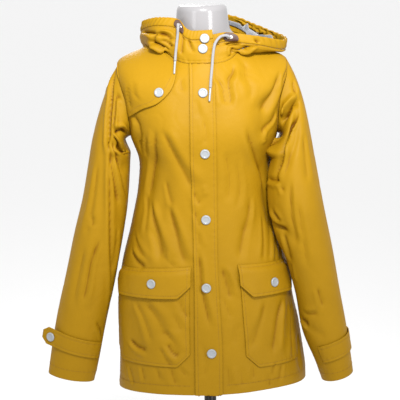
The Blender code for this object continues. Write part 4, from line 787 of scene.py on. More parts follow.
def coat_face(phi, along):
    base = coat_base(phi, along)
    rise = relief(COAT_FOLDS, np.degrees(phi), base[..., 2], COAT_METRES_PER_DEGREE)
    rise = rise * smooth_step((NECK - along) / CALM)
    return base + outward(coat_base, phi, along) * rise[..., None]


def coat(phi, along, lift=0.0):
    """Points on the coat's outer face, lifted off it."""
    phi, along, lift = np.broadcast_arrays(phi, along, lift)
    return coat_face(phi, along) + outward(coat_face, phi, along) * lift[..., None]


def place_on_coat(x, z):
    """(phi, along) of the points on the coat's front that have this x and height."""
    x, z = np.broadcast_arrays(np.asarray(x, float), np.asarray(z, float))
    phi, along = np.zeros(x.shape), np.full(x.shape, 0.5)
    for _ in range(PLACE_STEPS):
        point = coat_base(phi, along)
        turn = PLACE_ACROSS * (x - point[..., 0]) / (COAT_HALF_WIDTH * np.cos(phi))
        phi = np.clip(phi + turn, -FRONT_LIMIT, FRONT_LIMIT)
        along = np.clip(along + PLACE_UP * (z - point[..., 2]), HEM, NECK)
    return phi, along


def along_at_height(phi, z):
    """How far along the coat lies the height z at the angle phi."""
    phi, z = np.broadcast_arrays(np.asarray(phi, float), np.asarray(z, float))
    along = np.full(phi.shape, 0.4)
    for _ in range(HEIGHT_STEPS):
        along = np.clip(along + HEIGHT_UP * (z - coat_base(phi, along)[..., 2]), HEM, NECK)
    return along


def armhole(side, turn):
    """(phi, along) of the armhole's edge. turn is 0 at the underarm, pi/2 in front and pi at the shoulder."""
    along = (UNDERARM + SHOULDER) / 2 - (SHOULDER - UNDERARM) / 2 * np.cos(turn)
    return side * (math.pi / 2 - ARMHOLE_SWING * np.sin(turn)), along


def arm_ring(side, turn, down):
    """Points of the sleeve below the underarm's level, with no folds."""
    out, fore, z, half_width, half_depth, tilt = columns_of(SLEEVE[side], down)
    tilt = np.radians(tilt)
    across = -half_width * np.cos(turn)
    x = out + across * np.cos(tilt)
    return np.stack([side * x, fore - half_depth * np.sin(turn), z + across * np.sin(tilt)], axis=-1)


def sleeve_base(side, turn, down):
    """The sleeve's outer face with no folds. down is -CAP at the armhole and 0 at the underarm's level."""
    turn, down = np.broadcast_arrays(turn, down)
    start = coat_face(*armhole(side, turn))
    end = arm_ring(side, turn, np.zeros(turn.shape))
    chord = np.linalg.norm(end - start, axis=-1, keepdims=True)
    under = ((1 + np.cos(turn[..., None])) / 2) ** 2
    heading = np.array(CROWN_HEADING) + (np.array(UNDERARM_HEADING) - CROWN_HEADING) * under
    heading = heading * np.stack([np.full(turn.shape, side), np.sin(turn), np.ones(turn.shape)], axis=-1)
    leave = unit(heading) * np.maximum(chord, HEAD_LEAST)
    arrive = unit(arm_ring(side, turn, np.full(turn.shape, ARM_STEP)) - end) * chord
    t = np.clip(1 + down / CAP, 0.0, 1.0)[..., None]
    head = (2 * t**3 - 3 * t**2 + 1) * start + (t**3 - 2 * t**2 + t) * leave
    head = head + (3 * t**2 - 2 * t**3) * end + (t**3 - t**2) * arrive
    return np.where((down < 0)[..., None], head, arm_ring(side, turn, np.maximum(down, 0.0)))


def sleeve_face(side, turn, down):
    rise = relief(SLEEVE_FOLDS[side], np.degrees(turn), down, SLEEVE_METRES_PER_DEGREE)
    calm = smooth_step((down + CAP) / CALM)
    out = outward(lambda a, b: sleeve_base(side, a, b), turn, down, -side)
    return sleeve_base(side, turn, down) + out * (rise * calm)[..., None]


def hood_face(side, angle, rib):
    """The hood's outer face. angle is degrees round the neck, and rib runs from 0 at the neck seam to 1."""
    angle, rib = np.broadcast_arrays(np.asarray(angle, float), np.asarray(rib, float))
    phi = np.radians(side * angle)
    lap = THROAT_LAP * smooth_step((LAP_START - angle) / LAP_RUN) if side < 0 else np.zeros(angle.shape)
    knots = [coat(phi, np.full(phi.shape, NECK), lap)]
    row = columns_of(HOOD[side], angle)
    for r, z in zip(row[0::2], row[1::2]):
        knots.append(np.stack([r * np.sin(phi), -r * np.cos(phi), z], axis=-1))
    rim, far = knots[-1], knots[-2]
    knots.insert(-1, rim + unit(far - rim) * CASING_WIDTH)
    last = len(knots) - 1
    knots = np.stack([2 * knots[0] - knots[1], *knots, 2 * knots[-1] - knots[-2]])
    place = np.clip(rib * last, 0, last)
    i = np.minimum(place.astype(int), last - 1)
    t = (place - i)[..., None]

    def knot(j):
        return np.take_along_axis(knots, np.broadcast_to(j[..., None], knots.shape[1:])[None], axis=0)[0]

    p0, p1, p2, p3 = knot(i), knot(i + 1), knot(i + 2), knot(i + 3)
    curve = 2 * p1 + (p2 - p0) * t + (2 * p0 - 5 * p1 + 4 * p2 - p3) * t**2
    return (curve + (3 * p1 - p0 - 3 * p2 + p3) * t**3) / 2

# ---------------------------------------------------------------- creases and crumple


def creased(creases, angle, place, metres_per_degree, place_metres=None):
    """How far the creases push the cloth out at these angles (degrees) and places.

    place_metres gives the length of one unit of place at an angle; without it, places are in metres.
    """
    angle, place = np.broadcast_arrays(angle, place)
    out = np.zeros(angle.shape)
    for crease in creases:
        path = np.array(crease.path, float)
        metres = place_metres(path[:, 0].mean()) if place_metres else 1.0
        margin = CREASE_REACH * crease.width / metres
        near = (place > path[:, 1].min() - margin) & (place < path[:, 1].max() + margin)
        if not near.any():
            continue
        turn = (angle[near] - path[0, 0] + 180) % 360 - 180
        here = np.stack([turn * metres_per_degree, place[near] * metres], axis=-1)
        knots = np.column_stack([(path[:, 0] - path[0, 0]) * metres_per_degree, path[:, 1] * metres])
        knots = curved(knots)
        runs = np.linalg.norm(np.diff(knots, axis=0), axis=1)
        done = np.concatenate([[0], np.cumsum(runs)])
        nearest = np.full(turn.shape, np.inf)
        offset, share = np.zeros(turn.shape), np.zeros(turn.shape)
        for i, (start, end) in enumerate(zip(knots, knots[1:])):
            run = end - start
            t = np.clip(((here - start) @ run) / runs[i] ** 2, 0.0, 1.0)
            away = here - start - t[:, None] * run
            distance = np.linalg.norm(away, axis=1)
            closer = distance < nearest
            hand = np.sign(run[1] * away[:, 0] - run[0] * away[:, 1])
            nearest = np.where(closer, distance, nearest)
            offset = np.where(closer, distance * hand, offset)
            share = np.where(closer, (done[i] + t * runs[i]) / done[-1], share)
        fade = smooth_step(share / CREASE_END) * smooth_step((1 - share) / CREASE_END)
        reach = crease.width * (CREASE_START + CREASE_SPREAD * share)
        section = np.exp(-(np.abs(offset / reach) ** CREASE_ROUND))
        if crease.lean:
            bank = np.exp(-(((offset / reach - BANK_AWAY * crease.lean) / BANK_WIDTH) ** 2))
            section = section - CREASE_BANK * bank
        out[near] += crease.depth * fade * section
    return out


def curved(points, steps=3):
    """A smooth line through these points."""
    if len(points) < 3:
        return points
    reach = lengths(points)
    table = np.column_stack([reach, points])
    at = np.concatenate([np.linspace(a, b, steps, endpoint=False) for a, b in zip(reach, reach[1:])])
    return columns_of(table, np.append(at, reach[-1])).T


def lengths(points):
    """How far each point of a line lies along it."""
    return np.concatenate([[0], np.cumsum(np.linalg.norm(np.diff(points, axis=0), axis=1))])


def ripple(points, seed, length, stretch=(1.0, 1.0, 1.0), count=14):
    """A soft random swell over points in space, about -1 to 1, with waves about this long."""
    draw = np.random.RandomState(seed)
    heading = unit(draw.normal(size=(count, 3)))
    around = 2 * math.pi / (length * draw.uniform(*WAVE_SPREAD, count))
    waves = heading * around[:, None] / np.array(stretch)
    phase = draw.uniform(0, 2 * math.pi, count)
    total = np.zeros(points.shape[:-1])
    for wave, start in zip(waves, phase):
        total += np.cos(points @ wave + start)
    return total * math.sqrt(2 / count)


def crumple(points, seed):
    """The small dents and sharp short creases that a coated cloth keeps, in metres."""
    soft = SOFT_DENT * ripple(points, seed, SOFT_LENGTH, SOFT_STRETCH)
    line = ripple(points, seed + 1, SHARP_LENGTH, SHARP_STRETCH)
    patch = smooth_step(DENTED + DENTED_SWING * ripple(points, seed + 2, DENTED_LENGTH))
    return soft - SHARP_DENT * np.exp(-np.abs(line) / SHARP_WIDTH) * patch


def strength():
    return bpy.context.scene.raincoat_sizes.crease


def sewn(points, facing, edges):
    """The lines of topstitching along some edges of a grid, as (points, facing)."""
    k = EDGE_LINES.index(STITCH_IN)
    lines = {
        "start": (slice(k, -k), k),
        "end": (slice(k, -k), -1 - k),
        "low": (k, slice(k, -k)),
        "high": (-1 - k, slice(k, -k)),
    }
    return [(points[lines[edge]], facing[lines[edge]]) for edge in edges]


def near_armhole(phi, along):
    """0 at the armhole's edge and 1 away from it."""
    off = np.abs(np.abs(np.arctan2(np.sin(phi), np.cos(phi))) - math.pi / 2) - side_edge(along)
    above = smooth_step((along - (UNDERARM - ARMHOLE_NEAR)) / ARMHOLE_NEAR)
    beside = above * smooth_step((SHOULDER + ARMHOLE_NEAR - along) / ARMHOLE_NEAR)
    return 1 - beside * (1 - smooth_step(np.abs(off) * SEAM_RADIUS / SEAM_CALM))


def side_edge(along):
    """Angle in from the side seam where a panel ends: more than 0 only beside the armhole."""
    climb = (along - (UNDERARM + SHOULDER) / 2) / ((SHOULDER - UNDERARM) / 2)
    return ARMHOLE_SWING * np.sqrt(np.clip(1 - climb**2, 0.0, 1.0))


def coat_cloth(phi, along, lift=0.0):
    """Points on the coat's creased cloth, lifted off it, and the directions that it faces."""
    phi, along, lift = np.broadcast_arrays(phi, along, lift)
    base, out = coat_face(phi, along), outward(coat_face, phi, along)
    rise = creased(COAT_CREASES, np.degrees(phi), base[..., 2], COAT_METRES_PER_DEGREE)
    rise = (rise * strength() + crumple(base, COAT_SEED)) * smooth_step((NECK - along) / SEAM_CALM)
    rise = rise * near_armhole(phi, along)
    return base + out * (rise + lift)[..., None], out


def sleeve_cloth(side, turn, down, lift=0.0):
    """The same on a sleeve. At the armhole its cloth is lifted along with the coat's."""
    turn, down, lift = np.broadcast_arrays(turn, down, lift)
    base = sleeve_face(side, turn, down)
    free = outward(lambda a, b: sleeve_face(side, a, b), turn, down, -side)
    seam = outward(coat_face, *armhole(side, turn))
    share = smooth_step((down + CAP) / SEAM_RUN)[..., None]
    out = unit(seam * (1 - share) + free * share)
    rise = creased(SLEEVE_CREASES[side], np.degrees(turn), down, SLEEVE_METRES_PER_DEGREE)
    rise = rise * SLEEVE_SHARE * strength() + crumple(base, SLEEVE_SEED + side)
    rise = rise * smooth_step((down + CAP) / SEAM_CALM)
    return base + out * (rise + lift)[..., None], out


def rib_metres(angle):
    """About how long a rib of the hood is at this angle."""
    return HOOD_RIB_SHORT + (HOOD_RIB_LONG - HOOD_RIB_SHORT) * smooth_step((angle - BAG_START) / RIB_RUN)


def hood_cloth(side, angle, rib, lift=0.0):
    """The same on one half of the hood."""
    angle, rib, lift = np.broadcast_arrays(angle, rib, lift)
    inside = np.clip(rib, RIB_END, 1 - RIB_END)
    out = outward(lambda a, b: hood_face(side, a, b), angle, inside, side, HOOD_STEPS)
    base = hood_face(side, angle, rib)
    rise = creased(HOOD_CREASES[side], angle, rib, HOOD_METRES_PER_DEGREE, rib_metres)
    calm = smooth_step(rib / HOOD_CALM) * smooth_step((angle - THROAT_CALM) / THROAT_CALM_RUN)
    back = smooth_step((angle - BAG_START) / BAG_RUN)
    rise = rise * HOOD_SHARE * strength() + crumple(base, HOOD_SEED) * (1 + BAG_CRUMPLE * back)
    return base + out * (rise * calm + lift)[..., None], out


def spaced(length, step, fine=()):
    """Shares from 0 to 1 along a length: these fine distances in from each end, and even steps between."""
    fine = [d for d in fine if d < length / 3]
    start = fine[-1] if fine else 0.0
    count = max(2, round((length - 2 * start) / step))
    middle = np.linspace(start, length - start, count + 1)
    ends = np.array(fine[:-1]) if fine else np.array([])
    return np.concatenate([ends, middle, (length - ends)[::-1]]) / length


def reaches(points):
    """How far each point of a grid lies along its row and up its column, in metres."""
    across = np.linalg.norm(np.diff(points, axis=1), axis=-1)
    up = np.linalg.norm(np.diff(points, axis=0), axis=-1)
    rows, columns = points.shape[:2]
    u, v = np.zeros((rows, columns)), np.zeros((rows, columns))
    u[:, 1:], v[1:] = np.cumsum(across, axis=1), np.cumsum(up, axis=0)
    return u, v


def seam_dip(distance, along_seam, seed):
    """The groove of a row of topstitching near an edge, with the small puckers that the thread pulls in."""
    groove = -SEAM_DEPTH * np.exp(-(((distance - STITCH_IN) / SEAM_WIDTH) ** 2))
    draw = np.random.RandomState(seed)
    wave = 2 * math.pi / (PUCKER_LENGTH * draw.uniform(*PUCKER_SPREAD, PUCKER_WAVES))
    start = draw.uniform(0, 2 * math.pi, PUCKER_WAVES)
    pucker = sum(np.sin(along_seam * k + s) for k, s in zip(wave, start)) / PUCKER_WAVES
    return groove + PUCKER_HEIGHT * pucker * np.exp(-(((distance - STITCH_IN) / PUCKER_WIDTH) ** 2))


def edged(points, facing, edges, seed):
    """A grid of cloth with the dips of topstitching along some of its edges."""
    u, v = reaches(points)
    dips = {
        "start": (u, v),
        "end": (u[:, -1:] - u, v),
        "low": (v, u),
        "high": (v[-1:] - v, u),
    }
    rise = sum(seam_dip(*dips[edge], seed + i) for i, edge in enumerate(edges))
    return points + facing * rise[..., None]

# ---------------------------------------------------------------- meshes


def linear(hex_code):
    """An sRGB hex colour as linear red, green, blue and alpha."""
    parts = [int(hex_code[i : i + 2], 16) / 255 for i in (1, 3, 5)]
    return (*(c / 12.92 if c <= 0.04045 else ((c + 0.055) / 1.055) ** 2.4 for c in parts), 1.0)


def placed(name, mesh, made_of, replaces=()):
    """The mesh as a piece of the object that rides on its body."""
    mesh.materials.append(made_of)
    mesh.shade_smooth()
    piece = bpy.data.objects.new(name, mesh)
    bpy.context.scene.collection.objects.link(piece)
    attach(piece, BODY)
    if replaces:
        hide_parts(*replaces)
    return piece


def grid_mesh(name, points, facing, tube=False):
    """A grid of points (rows, columns, 3) as a mesh whose UV map is the cut cloth, in metres."""
    rows, columns = points.shape[:2]
    bm = bmesh.new()
    bmesh.ops.create_grid(bm, x_segments=columns - 1, y_segments=rows - 1, size=1.0)
    mesh = bpy.data.meshes.new(name)
    bm.to_mesh(mesh)
    mesh.vertices.foreach_set("co", points.reshape(-1))
    u, v = reaches(points)
    cut = np.stack([u, v], axis=-1).reshape(-1, 2)
    corner = np.zeros(len(mesh.loops), int)
    mesh.loops.foreach_get("vertex_index", corner)
    mesh.uv_layers.new(name="Cut").data.foreach_set("uv", cut[corner].reshape(-1))
    mesh.update()
    normals = np.zeros(len(mesh.vertices) * 3)
    mesh.vertices.foreach_get("normal", normals)
    if (normals.reshape(-1, 3) * facing.reshape(-1, 3)).sum() < 0:
        mesh.flip_normals()
    bm.clear()
    if tube:
        bm.from_mesh(mesh)
        ends = [v for v in bm.verts if v.is_boundary and v.index % columns in (0, columns - 1)]
        bmesh.ops.remove_doubles(bm, verts=ends, dist=MERGE_SLEEVE)
        bm.to_mesh(mesh)
    bm.free()
    return mesh


def close(mesh):
    """Joins the edges of a grid that meet, and closes its open ends."""
    bm = bmesh.new()
    bm.from_mesh(mesh)
    bmesh.ops.remove_doubles(bm, verts=[v for v in bm.verts if v.is_boundary], dist=MERGE)
    bmesh.ops.holes_fill(bm, edges=[e for e in bm.edges if e.is_boundary], sides=0)
    bmesh.ops.recalc_face_normals(bm, faces=bm.faces)
    bm.to_mesh(mesh)
    bm.free()


def cloth(name, points, facing, replaces, held, rests_on, tube=False, seams=(), lining=False):
    """A sheet of cloth: its outer face is the grid of points, and its thickness goes inwards."""
    if seams:
        stitches(f"{name}_stitching", sewn(points, facing, seams))
    made_of, slot = (jersey(), "grey_jersey") if lining else (coated_cloth(), COATED)
    piece = placed(name, grid_mesh(name, points, facing, tube), made_of, replaces)
    wall = piece.modifiers.new("Thickness", "SOLIDIFY")
    wall.thickness = LINING if lining else CLOTH
    wall.offset = -1.0
    wall.use_rim = True
    u, v = reaches(points)


def spun(profile, segments, matrix=None):
    """A bmesh turned round its own Z axis from (radius, height) points that start and end on the axis."""
    bm = bmesh.new()
    verts = [bm.verts.new((radius, 0.0, height)) for radius, height in profile]
    edges = [bm.edges.new(pair) for pair in zip(verts, verts[1:])]
    axis = Vector((0, 0, 1))
    bmesh.ops.spin(
        bm, geom=verts + edges, cent=(0, 0, 0), axis=axis, angle=math.tau, steps=segments, use_merge=True
    )
    bmesh.ops.remove_doubles(bm, verts=bm.verts[:], dist=MERGE)
    bmesh.ops.recalc_face_normals(bm, faces=bm.faces)
    if bm.calc_volume(signed=True) < 0:
        bmesh.ops.reverse_faces(bm, faces=bm.faces)
    bmesh.ops.transform(bm, matrix=matrix or Matrix.Identity(4), verts=bm.verts[:])
    return bm


def solid(name, bm, made_of, replaces=(), sharp=50):
    mesh = bpy.data.meshes.new(name)
    bm.to_mesh(mesh)
    bm.free()
    placed(name, mesh, made_of, replaces)
    mesh.set_sharp_from_angle(angle=math.radians(sharp))


def seat(point, normal, across=(1.0, 0.0, 0.0)):
    """A matrix that stands +Z on a face at this point, with +X as near as it can be to `across`."""
    z = Vector(normal).normalized()
    x = (Vector(across) - z * Vector(across).dot(z)).normalized()
    turn = Matrix((x, z.cross(x), z)).transposed().to_4x4()
    return Matrix.Translation(Vector(point)) @ turn


def side_name(side):
    return "right" if side < 0 else "left"


def stitches(name, lines):
    """Rows of stitches, each a short rounded grain of thread, along lines of (points, facing)."""
    bm = bmesh.new()
    for points, facing in lines:
        reach = lengths(points)
        count = max(1, int(reach[-1] / STITCH_PITCH))

        def read(place, values, reach=reach):
            return [np.interp(place, reach, values[:, k]) for k in range(3)]

        for middle in (np.arange(count) + 0.5) * reach[-1] / count:
            run = Vector(read(middle + STITCH_LOOK, points)) - Vector(read(middle - STITCH_LOOK, points))
            matrix = seat(read(middle, points), read(middle, facing), run)
            matrix = matrix @ Matrix.Diagonal((STITCH_LENGTH / 2, THREAD, THREAD, 1.0))
            bmesh.ops.create_uvsphere(
                bm, u_segments=STITCH_SIDES, v_segments=STITCH_RINGS, radius=1.0, matrix=matrix
            )
    solid(name, bm, sewing_thread())

# ---------------------------------------------------------------- materials


def add(nodes, kind, settings=None, values=None, links=None):
    """Adds a shader node with its settings, its sockets' values and what feeds its sockets."""
    node = nodes.new(kind)
    for key, value in (settings or {}).items():
        setattr(node, key, value)
    for socket, value in (values or {}).items():
        node.inputs[socket].default_value = value
    for socket, source in (links or {}).items():
        nodes.id_data.links.new(source, node.inputs[socket])
    return node


def finish(name, **values):
    """A new material, its nodes and its shader, with these values on the shader's own sockets."""
    made = bpy.data.materials.new(name)
    made.use_nodes = True
    nodes = made.node_tree.nodes
    shader = nodes["Principled BSDF"]
    for socket, value in values.items():
        shader.inputs[socket.replace("_", " ")].default_value = value
    return made, nodes, shader


def made_once(name):
    """Wraps a function that makes a material: it is made once, and found by its name after that."""

    def wrap(make):
        return lambda: bpy.data.materials.get(name) or make(name)

    return wrap


def colours():
    return bpy.context.scene.raincoat_colours


def scaled(colour, share):
    """A colour made darker, or lighter up to white."""
    return (*(min(1.0, share * c) for c in colour[:3]), 1.0)


def noise(nodes, **values):
    """Noise in space, in the object's own coordinates."""
    place = add(nodes, "ShaderNodeTexCoord").outputs["Object"]
    return add(nodes, "ShaderNodeTexNoise", values=values, links={"Vector": place}).outputs["Fac"]


def cut_map(nodes):
    """Places on the flat cut of a piece of cloth, in metres."""
    return add(nodes, "ShaderNodeUVMap", {"uv_map": "Cut"}).outputs["UV"]


def span(nodes, source, **values):
    """Maps a value onto a range."""
    values = {key.replace("_", " "): value for key, value in values.items()}
    return add(nodes, "ShaderNodeMapRange", values=values, links={"Value": source}).outputs["Result"]


def relief_map(nodes, strength, distance, height, under=None):
    """The normals of a fine relief, on top of a coarser one."""
    links = {"Height": height, "Normal": under} if under else {"Height": height}
    values = {"Strength": strength, "Distance": distance}
    return add(nodes, "ShaderNodeBump", values=values, links=links).outputs["Normal"]


def blend(nodes, share, low, high, start=0.0, end=1.0):
    """A colour between two, by a share."""
    ramp = add(nodes, "ShaderNodeValToRGB", links={"Fac": share})
    first, last = ramp.color_ramp.elements
    first.color, first.position = low, start
    last.color, last.position = high, end
    return ramp.outputs["Color"]


def feed(shader, **sources):
    """Links these outputs to the shader's sockets."""
    for socket, source in sources.items():
        shader.id_data.links.new(source, shader.inputs[socket.replace("_", " ")])


@made_once("polyurethane_coated_cloth")
def coated_cloth(name):
    """Polyester weave under a polyurethane coat: an even colour apart from painted shade in the bottoms of
    its creases, a soft broad gloss and fine crumple.
    """
    made, nodes, shader = finish(name, Roughness=0.52, Specular_IOR_Level=0.10)
    yellow = colours().cloth
    # dye and handling: patches about 60 mm across, a few per cent lighter or darker
    patch = noise(nodes, Scale=16.0, Detail=3.0)
    tint = blend(nodes, patch, scaled(yellow, 0.90), scaled(yellow, 1.07))
    # painted shade: the cloth's colour is made darker where it bends sharply inwards, in the bottoms of its
    # creases, where shade falls
    bend = add(nodes, "ShaderNodeNewGeometry").outputs["Pointiness"]
    painted_crease_shade = span(nodes, bend, From_Min=CREASE_SHADE_FULL, From_Max=CREASE_SHADE_NONE, To_Min=1.0, To_Max=0.0)
    crease_shaded_colour = add(
        nodes,
        "ShaderNodeMix",
        {"data_type": "RGBA"},
        {MIX_B: tuple(k * c for k, c in zip(PAINTED_CREASE_SHADE_COLOUR, yellow))},
        {"Factor": painted_crease_shade, MIX_A: tint},
    )
    # the coat is a little duller where it has been handled
    rough = span(nodes, noise(nodes, Scale=38.0, Detail=4.0), To_Min=0.46, To_Max=0.60)
    # creases 8 to 15 mm across that the coat keeps, and its weave, drawn at 1.2 mm for 0.4 mm
    creasing = relief_map(nodes, 0.6, 0.0010, noise(nodes, Scale=75.0, Detail=5.0, Roughness=0.55))
    weave = add(
        nodes,
        "ShaderNodeTexVoronoi",
        {"distance": "CHEBYCHEV"},
        {"Scale": 850.0, "Randomness": 0.15},
        {"Vector": cut_map(nodes)},
    )
    woven = relief_map(nodes, 0.12, 0.0001, weave.outputs["Distance"], creasing)
    feed(shader, Base_Color=crease_shaded_colour.outputs[MIX_RESULT], Roughness=rough, Normal=woven)
    return made


@made_once("polyester_thread")
def sewing_thread(name):
    """Spun polyester thread, a shade darker than the cloth, with no shine."""
    made, nodes, shader = finish(name, Roughness=0.75)
    thread = colours().thread
    twist = noise(nodes, Scale=900.0)
    feed(shader, Base_Color=blend(nodes, twist, scaled(thread, 0.8), tuple(thread)))
    return made


@made_once("brushed_jersey")
def jersey(name):
    """Brushed cotton jersey in mixed grey yarns: mottled, quite matt, with fine vertical ribs."""
    made, nodes, shader = finish(name, Roughness=0.95, Sheen_Weight=0.3, Sheen_Roughness=0.6)
    grey = colours().lining
    # yarns of different greys: flecks about 3 mm across
    fleck = noise(nodes, Scale=330.0, Detail=4.0, Roughness=0.7)
    tint = blend(nodes, fleck, scaled(grey, 0.45), scaled(grey, 1.5), 0.35, 0.68)
    # knitted ribs 1.5 mm apart
    size = {"Scale": 33.0, "Distortion": 1.0}
    ribs = add(nodes, "ShaderNodeTexWave", values=size, links={"Vector": cut_map(nodes)})
    feed(shader, Base_Color=tint, Normal=relief_map(nodes, 0.5, 0.0003, ribs.outputs["Fac"]))
    return made


def moulded(name, colour, roughness, grain, height, **values):
    """One colour and a smooth gloss, with the faint unevenness that moulding or spraying leaves."""
    made, nodes, shader = finish(name, Roughness=roughness, Base_Color=tuple(colour), **values)
    uneven = noise(nodes, Scale=grain, Detail=3.0)
    dull = span(nodes, uneven, To_Min=roughness * 0.85, To_Max=roughness * 1.2)
    feed(shader, Normal=relief_map(nodes, 0.4, height, uneven), Roughness=dull)
    return made


@made_once("moulded_acetal")
def snap_plastic(name):
    """Acetal, injection moulded: cool white with a satin gloss."""
    return moulded(name, colours().snap, 0.28, 300.0, 0.0001)


@made_once("sprayed_gloss_shell")
def form_shell(name):
    """Glass-fibre shell, sprayed gloss white: smooth, with an even clear reflection."""
    return moulded(name, colours().shell, 0.20, 9.0, 0.0004, Coat_Weight=0.4, Coat_Roughness=0.08)


@made_once("black_powder_coat")
def powder_coat(name):
    """Powder-coated steel: black, satin, with a fine orange peel about 1 mm across."""
    return moulded(name, colours().stand, 0.32, 900.0, 0.00008)


@made_once("braided_polyester")
def braid(name):
    """Braided polyester cord: off-white, matt, with painted shade darkening the gaps between its strands."""
    made, nodes, shader = finish(name, Roughness=0.85, Sheen_Weight=0.2)
    cord = colours().cord
    strand = add(nodes, "ShaderNodeAttribute", {"attribute_name": "strand"}).outputs["Fac"]
    fuzz = noise(nodes, Scale=1500.0)
    # painted shade: the colour is made darker in the sunk gaps between the strands, where shade falls in the
    # braid
    tint = blend(nodes, strand, scaled(cord, 0.66), tuple(cord))
    feed(shader, Base_Color=tint, Normal=relief_map(nodes, 0.4, 0.0002, fuzz))
    return made


@made_once("pigmented_leather")
def leather(name):
    """Thin pigmented leather: dark brown, with pebble grain about 1 mm across and lighter rubbed spots."""
    made, nodes, shader = finish(name, Roughness=0.55)
    brown = colours().leather
    rubbed = noise(nodes, Scale=220.0, Detail=3.0)
    place = add(nodes, "ShaderNodeTexCoord").outputs["Object"]
    grain = add(nodes, "ShaderNodeTexVoronoi", values={"Scale": 900.0}, links={"Vector": place})
    tint = blend(nodes, rubbed, scaled(brown, 0.75), scaled(brown, 1.5))
    feed(shader, Base_Color=tint, Normal=relief_map(nodes, 0.5, 0.0002, grain.outputs["Distance"]))
    return made


@made_once("nickel_plate")
def nickel(name):
    """Nickel plate on pressed brass: bright, barely yellow, with fine scratches."""
    made, nodes, shader = finish(name, Metallic=1.0, Roughness=0.25, Base_Color=linear("#D8D4CC"))
    scratch = noise(nodes, Scale=700.0, Detail=6.0)
    feed(shader, Roughness=span(nodes, scratch, To_Min=0.18, To_Max=0.38))
    return made


@made_once("painted_floor")
def studio_floor(name):
    """Matt white painted floor, with a trace of roller texture."""
    return moulded(name, linear("#FAFAFA"), 0.9, 4.0, 0.0002)


# ---------------------------------------------------------------- camera, cords


def route_points(route, spacing):
    """Points at even spacing along a smooth curve through the route's own points."""
    points = np.array(route, float)
    reach = lengths(points)
    table = np.column_stack([reach, points])
    count = max(4, round(reach[-1] / spacing))
    return columns_of(table, np.linspace(0, reach[-1], count + 1)).T


def build_camera():
    scene = bpy.context.scene
    lens = bpy.data.cameras.new("studio_camera")
    lens.lens, lens.sensor_width = CAMERA_LENS, CAMERA_SENSOR
    lens.clip_end = CAMERA_REACH
    camera = bpy.data.objects.new("studio_camera", lens)
    place, target = Vector(CAMERA_PLACE), Vector(CAMERA_TARGET)
    aim = (target - place).to_track_quat("-Z", "Y").to_matrix().to_4x4()
    camera.matrix_world = Matrix.Translation(place) @ aim @ Matrix.Rotation(-CAMERA_ROLL, 4, "Z")
    scene.collection.objects.link(camera)
    scene.camera = camera


def tube(name, points, radii, made_of, slot, replaces, braided=False):
    """A round tube along points, closed at both ends. A braided one has strands that stand out from it."""
    ahead = unit(np.gradient(points, axis=0))
    side = unit(np.cross(ahead, np.array([0.0, 1.0, 0.001])))
    up = np.cross(side, ahead)
    turn = np.linspace(0, 2 * math.pi, CORD_SIDES + 1)[None, :]
    reach = lengths(points)[:, None]
    weave = 0 * reach + 0 * turn
    if braided:
        twist = 2 * math.pi * reach / BRAID_PITCH
        weave = np.abs(np.sin(BRAID_STRANDS / 2 * turn + twist) * np.sin(BRAID_STRANDS / 2 * turn - twist))
        radii = radii * (1 - BRAID_DEPTH + BRAID_DEPTH * weave)
    ring = np.cos(turn)[..., None] * side[:, None] + np.sin(turn)[..., None] * up[:, None]
    grid = points[:, None] + ring * radii[..., None]
    mesh = grid_mesh(name, grid, ring)
    # the braid's relief, which the cord's material also uses to paint shade into the gaps between strands
    mesh.attributes.new("strand", "FLOAT", "POINT").data.foreach_set("value", weave.reshape(-1))
    close(mesh)
    return placed(name, mesh, made_of, replaces)


def build_cords():
    shares = np.array(TIP_RINGS)
    swell = np.interp(shares, *zip(*TIP_PROFILE))
    for side in (-1, 1):
        name = side_name(side)
        points = route_points(CORD_ROUTES[side], CORD_STEP)
        radii = np.full((len(points), 1), CORD_DIAMETER / 2)
        cord = tube(f"cord_{name}", points, radii, braid(), "white_cord", [f"drawcord_{name}"], braided=True)
        heading = unit(points[-1] - points[-2])
        start = points[-1] + heading * 2 * GAP
        tip_points = start + heading * (shares * TIP_LENGTH)[:, None]
        tip = tube(
            f"cord_tip_{name}", tip_points, (swell * TIP_DIAMETER / 2)[:, None], snap_plastic(),
            "white_snap_plastic", [f"drawcord_tip_{name}"],
        )


# ---------------------------------------------------------------- dress form and stand


